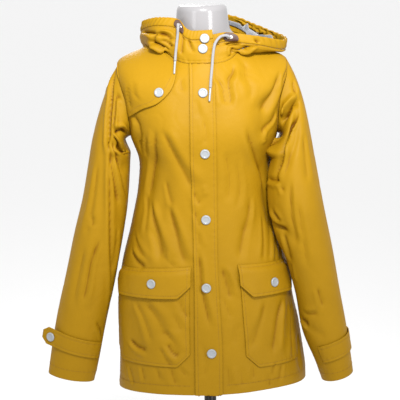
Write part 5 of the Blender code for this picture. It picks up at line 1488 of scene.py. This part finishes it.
def build_form():
    phi = np.linspace(0, 2 * math.pi, FORM_SIDES + 1)
    table = []
    for z, half, side_y, front_y, back_y, fullness in FORM:
        x, y = oval(phi, half, side_y, np.where(np.cos(phi) >= 0, front_y, back_y), fullness)
        table.append(np.stack([x, y, np.full(phi.shape, z)], axis=-1))
    chest = np.linspace(UNDERARM + FORM_CHEST_START, NECK - GAP, FORM_CHEST_RINGS)
    for along in chest:
        carried = smooth_step((along - CARRY_START) / CARRY_RUN) * np.abs(np.sin(phi)) ** 2
        deep = FORM_INSET + (SHOULDER_INSET - FORM_INSET) * carried
        place = np.full(phi.shape, along)
        table.append(coat_face(phi, place) - outward(coat_face, phi, place) * deep[:, None])
    root = table[-1]
    seat_z = np.full(phi.shape, NECK_SEAT)
    neck = np.stack([NECK_RADIUS * np.sin(phi), -NECK_RADIUS * np.cos(phi), seat_z], axis=-1)
    for up, inward in FORM_NECK:
        table.append(root + (neck - root) * np.array([inward, inward, up]))
    low = len(table)
    for angle in np.linspace(0, math.pi / 2, NECK_ROUND_STEPS)[1:]:
        shrink = 1 - NECK_ROUNDING / NECK_RADIUS * (1 - math.cos(angle))
        rise = (NECK_TOP - NECK_SEAT) * math.sin(angle)
        table.append(neck * [shrink, shrink, 1] + [0, 0, rise])
    flat = 1 - NECK_ROUNDING / NECK_RADIUS
    for share in FORM_TOP:
        table.append(neck * [flat * share, flat * share, 1] + [0, 0, NECK_TOP - NECK_SEAT])
    rings = np.array(table)
    # a smooth body through its rings, up to the root of its rounded top
    at = np.linspace(0, low - 1, (low - 1) * FORM_FINER + 1)
    body = columns_of(np.column_stack([np.arange(low), rings[:low].reshape(low, -1)]), at, 0.0)
    body = body.T.reshape(len(at), len(phi), 3)
    base = np.array([body[0] * [share, share, 1] for share in FORM_FOOT])
    grid = np.concatenate([base, body, rings[low:]])
    facing = grid - grid.mean(axis=1, keepdims=True) + [0, 0, 1e-9]
    mesh = grid_mesh("dress_form", grid, facing)
    close(mesh)
    placed("dress_form", mesh, form_shell(), ["form_torso", "form_neck_cap"])


def turned(name, radius, low, high, foot, head, sides, replaces):
    """A round steel piece of the stand between two heights, with its edges at the foot and the head."""
    profile = [(0, low)] + [(radius - inward, low + up) for inward, up in foot]
    profile += [(radius - inward, high - down) for inward, down in head] + [(0, high)]
    solid(name, spun(profile, sides), powder_coat(), [replaces])


def build_stand():
    high, low = FORM_FLOOR - GAP, FORM_FLOOR - GAP - SOCKET_HEIGHT
    foot, head = BASE_THICKNESS + GAP, low - GAP
    turned("stand_socket", SOCKET_RADIUS, low, high, SOCKET_FOOT, SOCKET_HEAD, SOCKET_SIDES, "pole_socket")
    turned("stand_pole", POLE_RADIUS, foot, head, STEEL_FOOT, POLE_HEAD, SMALL_SIDES, "pole")
    turned("stand_plate", BASE_RADIUS, 0, BASE_THICKNESS, STEEL_FOOT, PLATE_HEAD, PLATE_SIDES, "stand_base")


# ---------------------------------------------------------------- coat


def panel(name, edges, width, seams):
    """A panel of the coat between two edges, which are angles at each row."""
    length = NECK - GAP
    rows = spaced(length, WEAVE, EDGE_LINES)[:, None] * length
    start, end = edges(rows)
    phi = start + (end - start) * spaced(width, WEAVE, EDGE_LINES)[None, :]
    points, facing = coat_cloth(phi, rows)
    points = edged(points, facing, seams, PANEL_SEED)
    u, v = reaches(points)
    points = points + facing * seam_dip(v - HEM_STITCH_IN + STITCH_IN, u, HEM_SEED)[..., None]
    cloth(f"{name}_cloth", points, facing, [name], "draped", ["dress_form"], seams=seams)


def build_panels():
    quarter = math.pi / 2
    for side in (-1, 1):

        def front(rows, side=side):
            middle = np.full(rows.shape, side * SEAM_ANGLE)
            return middle, side * (quarter - SEAM_ANGLE - side_edge(rows))

        panel(f"front_{side_name(side)}", front, FRONT_WIDTH, ["end"])

    def back(rows):
        edge = quarter + SEAM_ANGLE + side_edge(rows)
        return edge, 2 * math.pi - edge

    panel("back", back, BACK_WIDTH, ["start", "end"])


def build_sleeves():
    turns = np.linspace(0, 2 * math.pi, SLEEVE_COLUMNS)[None, :]
    head = -CAP * (1 - spaced(CAP, HEAD_WEAVE) ** HEAD_SPACING)
    head[0] = -CAP + HEAD_GAP
    arm = spaced(SLEEVE_END, WEAVE, EDGE_LINES) * SLEEVE_END
    down = np.concatenate([head[:-1], arm])[:, None]
    down = down[np.concatenate([[True], np.diff(down[:, 0]) > SLEEVE_LEAST])]
    for side in (-1, 1):
        name = side_name(side)
        points, facing = sleeve_cloth(side, turns, down)
        u, v = reaches(points)
        rise = seam_dip(v[-1:] - v - CUFF_STITCH_IN + STITCH_IN, u, CUFF_SEED)
        points = points + facing * rise[..., None]
        points[:, -1], facing[:, -1] = points[:, 0], facing[:, 0]
        cloth(
            f"sleeve_{name}_cloth", points, facing, [f"sleeve_{name}"], "hung",
            [f"front_{name}_cloth", "back_cloth"], tube=True,
        )


def build_tabs():
    """The cuff tabs: round the sleeve's front, then straight on past it to a blunt point."""
    for side in (-1, 1):
        name, tab = side_name(side), TABS[side]
        wrapped = np.append(np.arange(tab.start, tab.leave - 1, TAB_STEP), tab.leave)
        lanes = (spaced(tab.width, TAB_WEAVE, TAB_LINES) * 2 - 1)[:, None] * tab.width / 2
        middle = tab.down - (wrapped - tab.start)[None, :] * TAB_TILT
        free = smooth_step((wrapped - tab.start) / TAB_RISE_RUN)
        lift = CLOTH + TAB_SEWN + (TAB_LIFT - TAB_SEWN) * free
        points, facing = sleeve_cloth(side, np.radians(wrapped)[None, :], middle + lanes, lift[None, :])
        heading = unit(unit(points[:, -1] - points[:, -3]).mean(axis=0))
        last, last_facing = points[:, -1], facing[:, -1]
        centre = last.mean(axis=0)
        for step in spaced(tab.free_length, TAB_WEAVE)[1:] * tab.free_length:
            end = last + heading * step
            narrowing = TAB_POINT * np.clip((step - (tab.free_length - TAB_TIP)) / TAB_TIP, 0, 1)
            end = end + (centre + heading * step - end) * narrowing
            points = np.concatenate([points, end[:, None]], axis=1)
            facing = np.concatenate([facing, last_facing[:, None]], axis=1)
        points = edged(points, facing, ["low", "high", "end"], TAB_SEED)
        cloth(f"tab_{name}", points, facing, [f"cuff_tab_{name}"], "laid", [f"sleeve_{name}_cloth"])
        lane = len(TAB_LINES) - 1
        rows = [(points[k, TAB_ROW], facing[k, TAB_ROW]) for k in (lane, -1 - lane)]
        stitches(f"tab_{name}_stitching", rows)
        tip = points[len(lanes) // 2, -1]
        place = tip - heading * tab.snap_back
        snap(f"stud_cuff_{name}", place, last_facing.mean(axis=0), f"snap_cuff_{name}")


# ---------------------------------------------------------------- pieces that lie on the coat


def build_storm_flap():
    foot, height = STORM_FLAP[0].z, STORM_FLAP[-1].z - STORM_FLAP[0].z
    heights = foot + spaced(height, WEAVE, EDGE_LINES) * height
    right_edge, left_edge = columns_of(STORM_FLAP, heights)
    shares = spaced(STORM_WIDTH, FLAP_WEAVE, EDGE_LINES)
    x = right_edge[:, None] + (left_edge - right_edge)[:, None] * shares
    phi, along = place_on_coat(x, heights[:, None])
    along = np.minimum(along, NECK - STORM_TOP_GAP)
    along[0] = HEM
    seams = ["start", "end"]
    points, facing = coat_cloth(phi, along, LAYER + CREASE_AIR)
    points = edged(points, facing, seams, STORM_SEED)
    fronts = ["front_right_cloth", "front_left_cloth"]
    cloth("storm_flap_cloth", points, facing, ["storm_flap"], "laid", fronts, seams=seams)
    for i, (x, z) in enumerate(STORM_SNAPS):
        point, normal = coat_cloth(*place_on_coat(x, z), LAYER + CREASE_AIR)
        snap(f"stud_front_{i + 1}", point, normal, f"snap_front_{i + 1}")


def build_chest_flap():
    """A flap that falls from the neck seam and shoulder over the right breast to a curved edge."""
    keys = np.linspace(0, 1, len(CHEST_EDGE))
    s = spaced(CHEST_WIDTH, FLAP_WEAVE, EDGE_LINES)
    t = spaced(CHEST_LENGTH, FLAP_WEAVE, EDGE_LINES)[:, None]
    edge = columns_of([(key, point.x, point.z) for key, point in zip(keys, CHEST_EDGE)], s, 0.0)
    low_phi, low_along = place_on_coat(edge[0], edge[1])
    neck_end, shoulder_end = NECK - CHEST_TOP_GAP, SHOULDER + CHEST_SHOULDER_GAP
    low_along = np.minimum(low_along, neck_end)
    # its other three sides: the neck seam, the shoulder seam and the armhole
    shoulder_seam = -math.pi / 2 + CHEST_SEAM_TURN
    top_along = neck_end + (shoulder_end - neck_end) * s
    phi = low_phi + (shoulder_seam - low_phi) * t
    along = low_along + (top_along - low_along) * t
    beside_armhole = -(math.pi / 2 - side_edge(along)) + CHEST_ARMHOLE_TURN
    phi = np.where(along < SHOULDER, np.maximum(phi, beside_armhole), phi)
    wave = CHEST_EVEN + CHEST_UNEVEN * np.sin(s * CHEST_WAVES + CHEST_PHASE)[None, :]
    free = CHEST_STAND * np.exp(-t / CHEST_FREE) * wave
    points, facing = coat_cloth(phi, along, LAYER + CHEST_AIR + CREASE_AIR + free)
    points = edged(points, facing, ["low"], CHEST_SEED)
    cloth(
        "chest_flap_cloth", points, facing, ["chest_flap"], "laid", ["front_right_cloth"], seams=["low"]
    )
    place = place_on_coat(CHEST_SNAP.x, CHEST_SNAP.z)
    point, normal = coat_cloth(*place, LAYER + CHEST_AIR + CHEST_SNAP_AIR)
    snap("stud_chest", point, normal, "snap_chest")


def hexagon(pocket, top, bottom, across, bottom_rise=0.0):
    """Shares across and heights of a panel with its lower corners cut off, as grids."""
    width = math.radians(pocket.outer - pocket.inner) * POCKET_RADIUS
    cut = CORNER / width
    raised = CORNER * CORNER_SLANT * np.clip(1 - np.minimum(across, 1 - across) / cut, 0, 1)
    high = top + pocket.rise * (1 - across)
    low = bottom + raised + bottom_rise * (1 - across)
    down = spaced(top - bottom, POCKET_WEAVE, EDGE_LINES)[:, None]
    return across + 0 * down, high + (low - high) * down


def pocket_angle(side, across):
    pocket = POCKETS[side]
    return side * np.radians(pocket.inner + (pocket.outer - pocket.inner) * across)


def pocket_swell(pocket, across, z):
    """How far a pocket's middle stands out over its seams."""
    top = pocket.top + pocket.rise * (1 - across)
    rise = np.clip((top - z) / (top - pocket.bottom), 0.0, 1.0)
    sides = smooth_step(np.minimum(across, 1 - across) / POCKET_PULL)
    return pocket.air + POCKET_FULL * sides * smooth_step((1 - rise) / POCKET_SAG)


def flap_stand(side, drop, across):
    """How far a pocket's flap stands off it, more towards its free edge."""
    return FLAP_STAND * drop**2 * (FLAP_EVEN + FLAP_UNEVEN * np.sin(across * FLAP_WAVES + side))


def build_pockets():
    across = spaced(POCKET_WIDTH, POCKET_WEAVE, EDGE_LINES)[None, :]
    for side in (-1, 1):
        pocket, name = POCKETS[side], side_name(side)
        seams = ["start", "end", "high"]
        shares, z = hexagon(pocket, pocket.top, pocket.bottom, across)
        phi = pocket_angle(side, shares)
        points, facing = coat_cloth(phi, along_at_height(phi, z), LAYER + pocket_swell(pocket, shares, z))
        points = edged(points, facing, seams, POCKET_SEED + side)
        cloth(
            f"pocket_{name}_cloth", points, facing, [f"pocket_{name}"], "laid", [f"front_{name}_cloth"],
            seams=seams,
        )

        seams = ["start", "end", "low", "high"]
        flap_drop = pocket.flap_top - pocket.flap_bottom
        shares, z = hexagon(pocket, pocket.flap_top, pocket.flap_bottom, across, FLAP_LEVEL * pocket.rise)
        phi = pocket_angle(side, shares * (1 + 2 * FLAP_OVERHANG) - FLAP_OVERHANG)
        below = pocket.flap_top + pocket.rise * (1 - shares) - z
        over = smooth_step(below / (pocket.flap_top - pocket.top))
        stand = flap_stand(side, np.clip(below / flap_drop, 0, 1), shares)
        lift = (pocket_swell(pocket, shares, z) + LAYER + FLAP_RISE) * over - FLAP_SEWN * (1 - over) + stand
        points, facing = coat_cloth(phi, along_at_height(phi, z), LAYER + lift)
        points = edged(points, facing, seams, FLAP_SEED + side)
        cloth(
            f"pocket_flap_{name}_cloth", points, facing, [f"pocket_flap_{name}"], "laid",
            [f"pocket_{name}_cloth"], seams=seams,
        )

        share = (pocket.snap_angle - pocket.inner) / (pocket.outer - pocket.inner)
        phi = np.array(pocket_angle(side, share))
        below = pocket.flap_top + pocket.rise * (1 - share) - pocket.snap_z
        stand = flap_stand(side, below / flap_drop, share)
        lift = pocket_swell(pocket, np.array(share), pocket.snap_z) + 2 * LAYER + FLAP_RISE + stand
        point, normal = coat_cloth(phi, along_at_height(phi, pocket.snap_z), lift)
        snap(f"stud_pocket_{name}", point, normal, f"snap_pocket_{name}")


def snap(name, point, normal, replaces):
    """A press stud's cap: a rolled rim round a shallow dome, just clear of the cloth."""
    profile = [(r * SNAP_RADIUS, h * SNAP_HEIGHT) for r, h in STUD_PROFILE]
    foot = Vector(point) + Vector(normal).normalized() * SNAP_AIR
    cap = spun(profile, SMALL_SIDES, seat(foot, normal))
    solid(name, cap, snap_plastic(), [replaces])


# ---------------------------------------------------------------- hood


def build_hood():
    end = 180 - math.degrees(SEAM_ANGLE)
    for side in (-1, 1):
        name, front = side_name(side), THROAT_END[side]
        seams = ["start", "low", "high"]
        angles = (front + spaced(HOOD_WIDTH, HOOD_WEAVE, EDGE_LINES) * (end - front))[None, :]
        ribs = NECK_SEAM + spaced(HOOD_LENGTH, RIB_WEAVE, EDGE_LINES)[:, None] * (CASING_RIB - 2 * NECK_SEAM)
        points, facing = hood_cloth(side, angles, ribs)
        points = edged(points, facing, seams, HOOD_EDGE_SEED + side)
        cloth(
            f"hood_{name}_cloth", points, facing, [f"hood_{name}"], "draped",
            [f"front_{name}_cloth", "back_cloth"], seams=seams,
        )
        angles = angles[:, angles[0] > LINING_START]
        # in front it reaches down only to where the hood turns under
        fall = smooth_step((angles - LINING_FALL[side]) / LINING_RUN[side])
        start = LINING_FRONT + (LINING_BACK - LINING_FRONT) * fall
        ribs = start + spaced(LINING_LENGTH, LINING_WEAVE)[:, None] * (CASING_RIB - LINING_TOP - start)
        bag = smooth_step((angles - LINING_BAG) / LINING_BAG_RUN)
        loose = LINING_LOOSE + (LINING_LOOSE_BACK - LINING_LOOSE) * bag
        points, facing = hood_cloth(side, angles, ribs, -CLOTH - loose)
        cloth(
            f"lining_{name}", points, facing, [f"hood_lining_{name}"], "laid", [f"hood_{name}_cloth"],
            lining=True,
        )
        build_casing(side, end)
    for i, (angle, rib) in enumerate(THROAT_SNAPS):
        lift = CASING_PLUMP if rib > CASING_RIB else 0.0
        point, normal = hood_cloth(-1, np.array(float(angle)), np.array(rib), lift)
        snap(f"stud_throat_{i + 1}", point, normal, f"snap_throat_{i + 1}")


def build_casing(side, end):
    """The cord's channel: the hood's edge folded over and gathered on the cord."""
    name = side_name(side)
    angles = np.linspace(THROAT_END[side], end, CASING_COLUMNS)[None, :]
    turn = np.linspace(0, 2 * math.pi, CASING_ROWS)[:, None]
    low = CASING_RIB + RIB_SEAM
    rib = low + (1 - low) * (1 - np.cos(turn)) / 2
    gathered = smooth_step((angles - PLAIN_UNTIL) / PLAIN_RUN)
    gathered = gathered * smooth_step((end + BACK_END - angles) / BACK_RUN)
    draw = np.random.RandomState(CASING_SEED + side)
    steps = np.cumsum(draw.uniform(*GATHER_SPREAD, GATHER_STEPS))
    station = np.interp(angles, np.linspace(*GATHER_SPAN, GATHER_STEPS + 1), np.concatenate([[0], steps]))
    slant = GATHER_SLANT * (rib - low) / (1 - low)
    pucker = np.sin(2 * math.pi * (station * LONG_GATHERS + slant))
    pucker = pucker + SHORT_SHARE * np.sin(2 * math.pi * (station * SHORT_GATHERS + SHORT_START))
    inside = GATHER_INSIDE + (1 - GATHER_INSIDE) * np.sin(turn / 2) ** 2
    wave = PUCKER_SWELL * (GATHER_LEAST + (1 - GATHER_LEAST) * gathered) * pucker * inside
    plump = (CLOTH / 2 + CASING_PLUMP) * np.sign(np.sin(turn)) * np.abs(np.sin(turn)) ** CASING_ROUND
    points, facing = hood_cloth(side, angles, np.minimum(rib, 1.0), plump - CLOTH / 2 + wave)
    mesh = grid_mesh(f"casing_{name}", points, facing * np.sin(turn)[..., None])
    close(mesh)
    piece = placed(f"casing_{name}", mesh, coated_cloth(), [f"hood_casing_{name}"])
    length = float(reaches(points)[0][len(points) // 2, -1])


def build_eyelets():
    """An oval leather patch on each end of the cord's channel, with a ringed hole for the cord."""
    spread = np.linspace(-1, 1, PATCH_COLUMNS)[None, :]
    lanes = np.linspace(-1, 1, PATCH_ROWS)[:, None]
    outline = (1 - np.abs(spread) ** PATCH_ROUND) ** (1 / PATCH_ROUND)
    dome = PATCH_DOME * (1 - np.maximum(np.abs(spread), np.abs(lanes)) ** 4)
    height = PATCH_HALF_WIDTH / CASING_WIDTH * (1 - CASING_RIB)
    for side in (-1, 1):
        name, angle, rib = side_name(side), EYELET_ANGLE[side], (1 + CASING_RIB) / 2
        turn = PATCH_SHARE * math.degrees(PATCH_HALF_LENGTH / np.linalg.norm(hood_face(side, angle, rib)[:2]))
        angles = angle + turn * spread + 0 * lanes
        ribs = rib + height * np.maximum(outline, PATCH_END) * lanes
        points, facing = hood_cloth(side, angles, ribs, CASING_PLUMP + PATCH_RISE + dome)
        mesh = grid_mesh(f"patch_{name}", points, facing)
        piece = placed(f"patch_{name}", mesh, leather(), [f"eyelet_patch_{name}"])
        wall = piece.modifiers.new("Thickness", "SOLIDIFY")
        wall.thickness, wall.offset = PATCH_THICKNESS, -1.0
        point, normal = hood_cloth(side, np.array(angle), np.array(rib), CASING_PLUMP + EYELET_RISE)
        ahead = hood_face(side, angle + EYELET_AHEAD, rib) - hood_face(side, angle - EYELET_AHEAD, rib)
        ring = [(0, 0), (EYELET_RADIUS, 0)]
        ring += [(EYELET_RADIUS * r, EYELET_HEIGHT * h) for r, h in EYELET_PROFILE]
        made = spun(ring, SMALL_SIDES, seat(point, normal, ahead) @ Matrix.Diagonal(EYELET_OVAL))
        solid(f"ring_{name}", made, nickel(), [f"eyelet_{name}"])


# ---------------------------------------------------------------- stitching


def coat_row(phi, along):
    phi, along = np.broadcast_arrays(phi, along)
    return coat_cloth(phi, along, LONG_ROW_RISE)


def build_stitching():
    """Rows beside the armholes and down the side seams, and round the hem and cuffs."""
    steps = np.linspace(0, 1, ROW_POINTS)
    hem = np.linspace(HEM_ROW_START, 2 * math.pi - HEM_ROW_END, HEM_ROW_POINTS)
    rows = [coat_row(hem, HEM_STITCH_IN)]
    for side in (-1, 1):
        phi, along = armhole(side, np.linspace(*ARMHOLE_ROW, ARMHOLE_ROW_POINTS))
        rows.append(coat_row(phi - side * ARMHOLE_ROW_IN, along))
        rows.append(coat_row(side * (math.pi / 2 + SIDE_ROW_IN), steps * (UNDERARM - SIDE_ROW_GAP)))
        rows.append(sleeve_cloth(side, steps * 2 * math.pi, SLEEVE_END - CUFF_STITCH_IN, LONG_ROW_RISE))
    stitches("long_seams_stitching", rows)


# ---------------------------------------------------------------- studio


def build_studio():
    scene = bpy.context.scene
    scene.view_settings.view_transform = "Standard"
    bm = bmesh.new()
    bmesh.ops.create_grid(bm, x_segments=1, y_segments=1, size=FLOOR_HALF)
    bmesh.ops.translate(bm, verts=bm.verts, vec=(0, 0, -FLOOR_DROP))
    mesh = bpy.data.meshes.new("studio_floor")
    bm.to_mesh(mesh)
    bm.free()
    mesh.materials.append(studio_floor())
    floor = bpy.data.objects.new("studio_floor", mesh)
    scene.collection.objects.link(floor)

    world = bpy.data.worlds.new("studio_air")
    world.use_nodes = True
    sky = world.node_tree.nodes["Background"]
    sky.inputs["Color"].default_value = (1.0, 1.0, 1.0, 1.0)
    sky.inputs["Strength"].default_value = AIR_STRENGTH
    scene.world = world

    for box in SOFT_BOXES:
        light = bpy.data.lights.new(box.name, "AREA")
        light.shape, light.size, light.size_y = "RECTANGLE", box.size[0], box.size[1]
        light.energy, light.spread = box.watts, math.radians(box.spread)
        lamp = bpy.data.objects.new(box.name, light)
        lamp.location = box.place
        lamp.rotation_euler = (Vector(box.place) - Vector(box.aim)).to_track_quat("Z", "Y").to_euler()
        scene.collection.objects.link(lamp)


# ---------------------------------------------------------------- add-on


class RaincoatSizes(bpy.types.PropertyGroup):
    crease: FloatProperty(
        name="Creases", description="How many times as deep as listed the creases are",
        default=2.0, min=0.0, max=2.0, subtype="FACTOR",
    )


def colour_property(name, description, hex_code):
    return FloatVectorProperty(
        name=name, description=description, default=linear(hex_code), size=4, min=0.0, max=1.0,
        subtype="COLOR",
    )


class RaincoatColours(bpy.types.PropertyGroup):
    cloth: colour_property("Cloth", "Colour of the coated cloth", "#97710C")
    thread: colour_property("Thread", "Colour of the sewing thread", "#80590E")
    lining: colour_property("Lining", "Middle colour of the mottled jersey", "#54565B")
    snap: colour_property("Snaps", "Colour of the moulded snaps and cord tips", "#929699")
    cord: colour_property("Cord", "Colour of the braided cord", "#989799")
    leather: colour_property("Leather", "Colour of the eyelet patches", "#3E2418")
    shell: colour_property("Form", "Colour of the dress form", "#868485")
    stand: colour_property("Stand", "Colour of the pole and base", "#0D0D0E")


class RAINCOAT_OT_camera(bpy.types.Operator):
    """Makes the camera that looks down on the coat from in front"""

    bl_idname = "raincoat.camera"
    bl_label = "Camera"

    def execute(self, context):
        build_camera()
        return {"FINISHED"}


class RAINCOAT_OT_cords(bpy.types.Operator):
    """Makes the two drawcords with their moulded tips"""

    bl_idname = "raincoat.cords"
    bl_label = "Drawcords"

    def execute(self, context):
        build_cords()
        return {"FINISHED"}


class RAINCOAT_OT_studio(bpy.types.Operator):
    """Makes the pale floor, the light of the room and the soft boxes"""

    bl_idname = "raincoat.studio"
    bl_label = "Studio"

    def execute(self, context):
        build_studio()
        return {"FINISHED"}


class RAINCOAT_OT_dress_form(bpy.types.Operator):
    """Makes the glossy shell that the coat hangs on"""

    bl_idname = "raincoat.dress_form"
    bl_label = "Dress form"

    def execute(self, context):
        build_form()
        return {"FINISHED"}


class RAINCOAT_OT_stand(bpy.types.Operator):
    """Makes the socket, pole and base plate"""

    bl_idname = "raincoat.stand"
    bl_label = "Stand"

    def execute(self, context):
        build_stand()
        return {"FINISHED"}


class RAINCOAT_OT_body(bpy.types.Operator):
    """Makes the two fronts and the back"""

    bl_idname = "raincoat.body"
    bl_label = "Fronts and back"

    def execute(self, context):
        build_panels()
        return {"FINISHED"}


class RAINCOAT_OT_sleeves(bpy.types.Operator):
    """Makes the two sleeves"""

    bl_idname = "raincoat.sleeves"
    bl_label = "Sleeves"

    def execute(self, context):
        build_sleeves()
        return {"FINISHED"}


class RAINCOAT_OT_cuff_tabs(bpy.types.Operator):
    """Makes the two cuff tabs with their snaps"""

    bl_idname = "raincoat.cuff_tabs"
    bl_label = "Cuff tabs"

    def execute(self, context):
        build_tabs()
        return {"FINISHED"}


class RAINCOAT_OT_storm_flap(bpy.types.Operator):
    """Makes the flap over the front opening with its five snaps"""

    bl_idname = "raincoat.storm_flap"
    bl_label = "Storm flap"

    def execute(self, context):
        build_storm_flap()
        return {"FINISHED"}


class RAINCOAT_OT_chest_flap(bpy.types.Operator):
    """Makes the flap on the right breast with its snap"""

    bl_idname = "raincoat.chest_flap"
    bl_label = "Chest flap"

    def execute(self, context):
        build_chest_flap()
        return {"FINISHED"}


class RAINCOAT_OT_pockets(bpy.types.Operator):
    """Makes the two pockets, their flaps and their snaps"""

    bl_idname = "raincoat.pockets"
    bl_label = "Pockets"

    def execute(self, context):
        build_pockets()
        return {"FINISHED"}


class RAINCOAT_OT_hood(bpy.types.Operator):
    """Makes the hood with its lining, cord channel and throat snaps"""

    bl_idname = "raincoat.hood"
    bl_label = "Hood"

    def execute(self, context):
        build_hood()
        return {"FINISHED"}


class RAINCOAT_OT_eyelets(bpy.types.Operator):
    """Makes the leather patches and the eyelets that the cords come out of"""

    bl_idname = "raincoat.eyelets"
    bl_label = "Eyelets"

    def execute(self, context):
        build_eyelets()
        return {"FINISHED"}


class RAINCOAT_OT_stitching(bpy.types.Operator):
    """Makes the rows of topstitching"""

    bl_idname = "raincoat.stitching"
    bl_label = "Stitching"

    def execute(self, context):
        build_stitching()
        return {"FINISHED"}


OPERATORS = (
    RAINCOAT_OT_camera,
    RAINCOAT_OT_cords,
    RAINCOAT_OT_studio,
    RAINCOAT_OT_dress_form,
    RAINCOAT_OT_stand,
    RAINCOAT_OT_body,
    RAINCOAT_OT_sleeves,
    RAINCOAT_OT_cuff_tabs,
    RAINCOAT_OT_storm_flap,
    RAINCOAT_OT_chest_flap,
    RAINCOAT_OT_pockets,
    RAINCOAT_OT_hood,
    RAINCOAT_OT_eyelets,
    RAINCOAT_OT_stitching,
)


class RAINCOAT_PT_making(bpy.types.Panel):
    """The raincoat's sizes, colours and pieces, in the order that they are made"""

    bl_idname = "RAINCOAT_PT_making"
    bl_label = "Raincoat"
    bl_space_type = "VIEW_3D"
    bl_region_type = "UI"
    bl_category = "Raincoat"

    def draw(self, context):
        layout = self.layout
        for group in (context.scene.raincoat_sizes, context.scene.raincoat_colours):
            for key in group.__annotations__:
                layout.prop(group, key)
        for made in OPERATORS:
            layout.operator(made.bl_idname)


CLASSES = (RaincoatSizes, RaincoatColours, *OPERATORS, RAINCOAT_PT_making)


def register():
    for item in CLASSES:
        bpy.utils.register_class(item)
    bpy.types.Scene.raincoat_sizes = PointerProperty(type=RaincoatSizes)
    bpy.types.Scene.raincoat_colours = PointerProperty(type=RaincoatColours)


def unregister():
    del bpy.types.Scene.raincoat_colours
    del bpy.types.Scene.raincoat_sizes
    for item in reversed(CLASSES):
        bpy.utils.unregister_class(item)


def main():
    register()
    bpy.ops.raincoat.camera()
    bpy.ops.raincoat.cords()
    bpy.ops.raincoat.studio()
    bpy.ops.raincoat.dress_form()
    bpy.ops.raincoat.stand()
    bpy.ops.raincoat.body()
    bpy.ops.raincoat.sleeves()
    bpy.ops.raincoat.cuff_tabs()
    bpy.ops.raincoat.storm_flap()
    bpy.ops.raincoat.chest_flap()
    bpy.ops.raincoat.pockets()
    bpy.ops.raincoat.hood()
    bpy.ops.raincoat.eyelets()
    bpy.ops.raincoat.stitching()


if __name__ == "__main__":
    main()
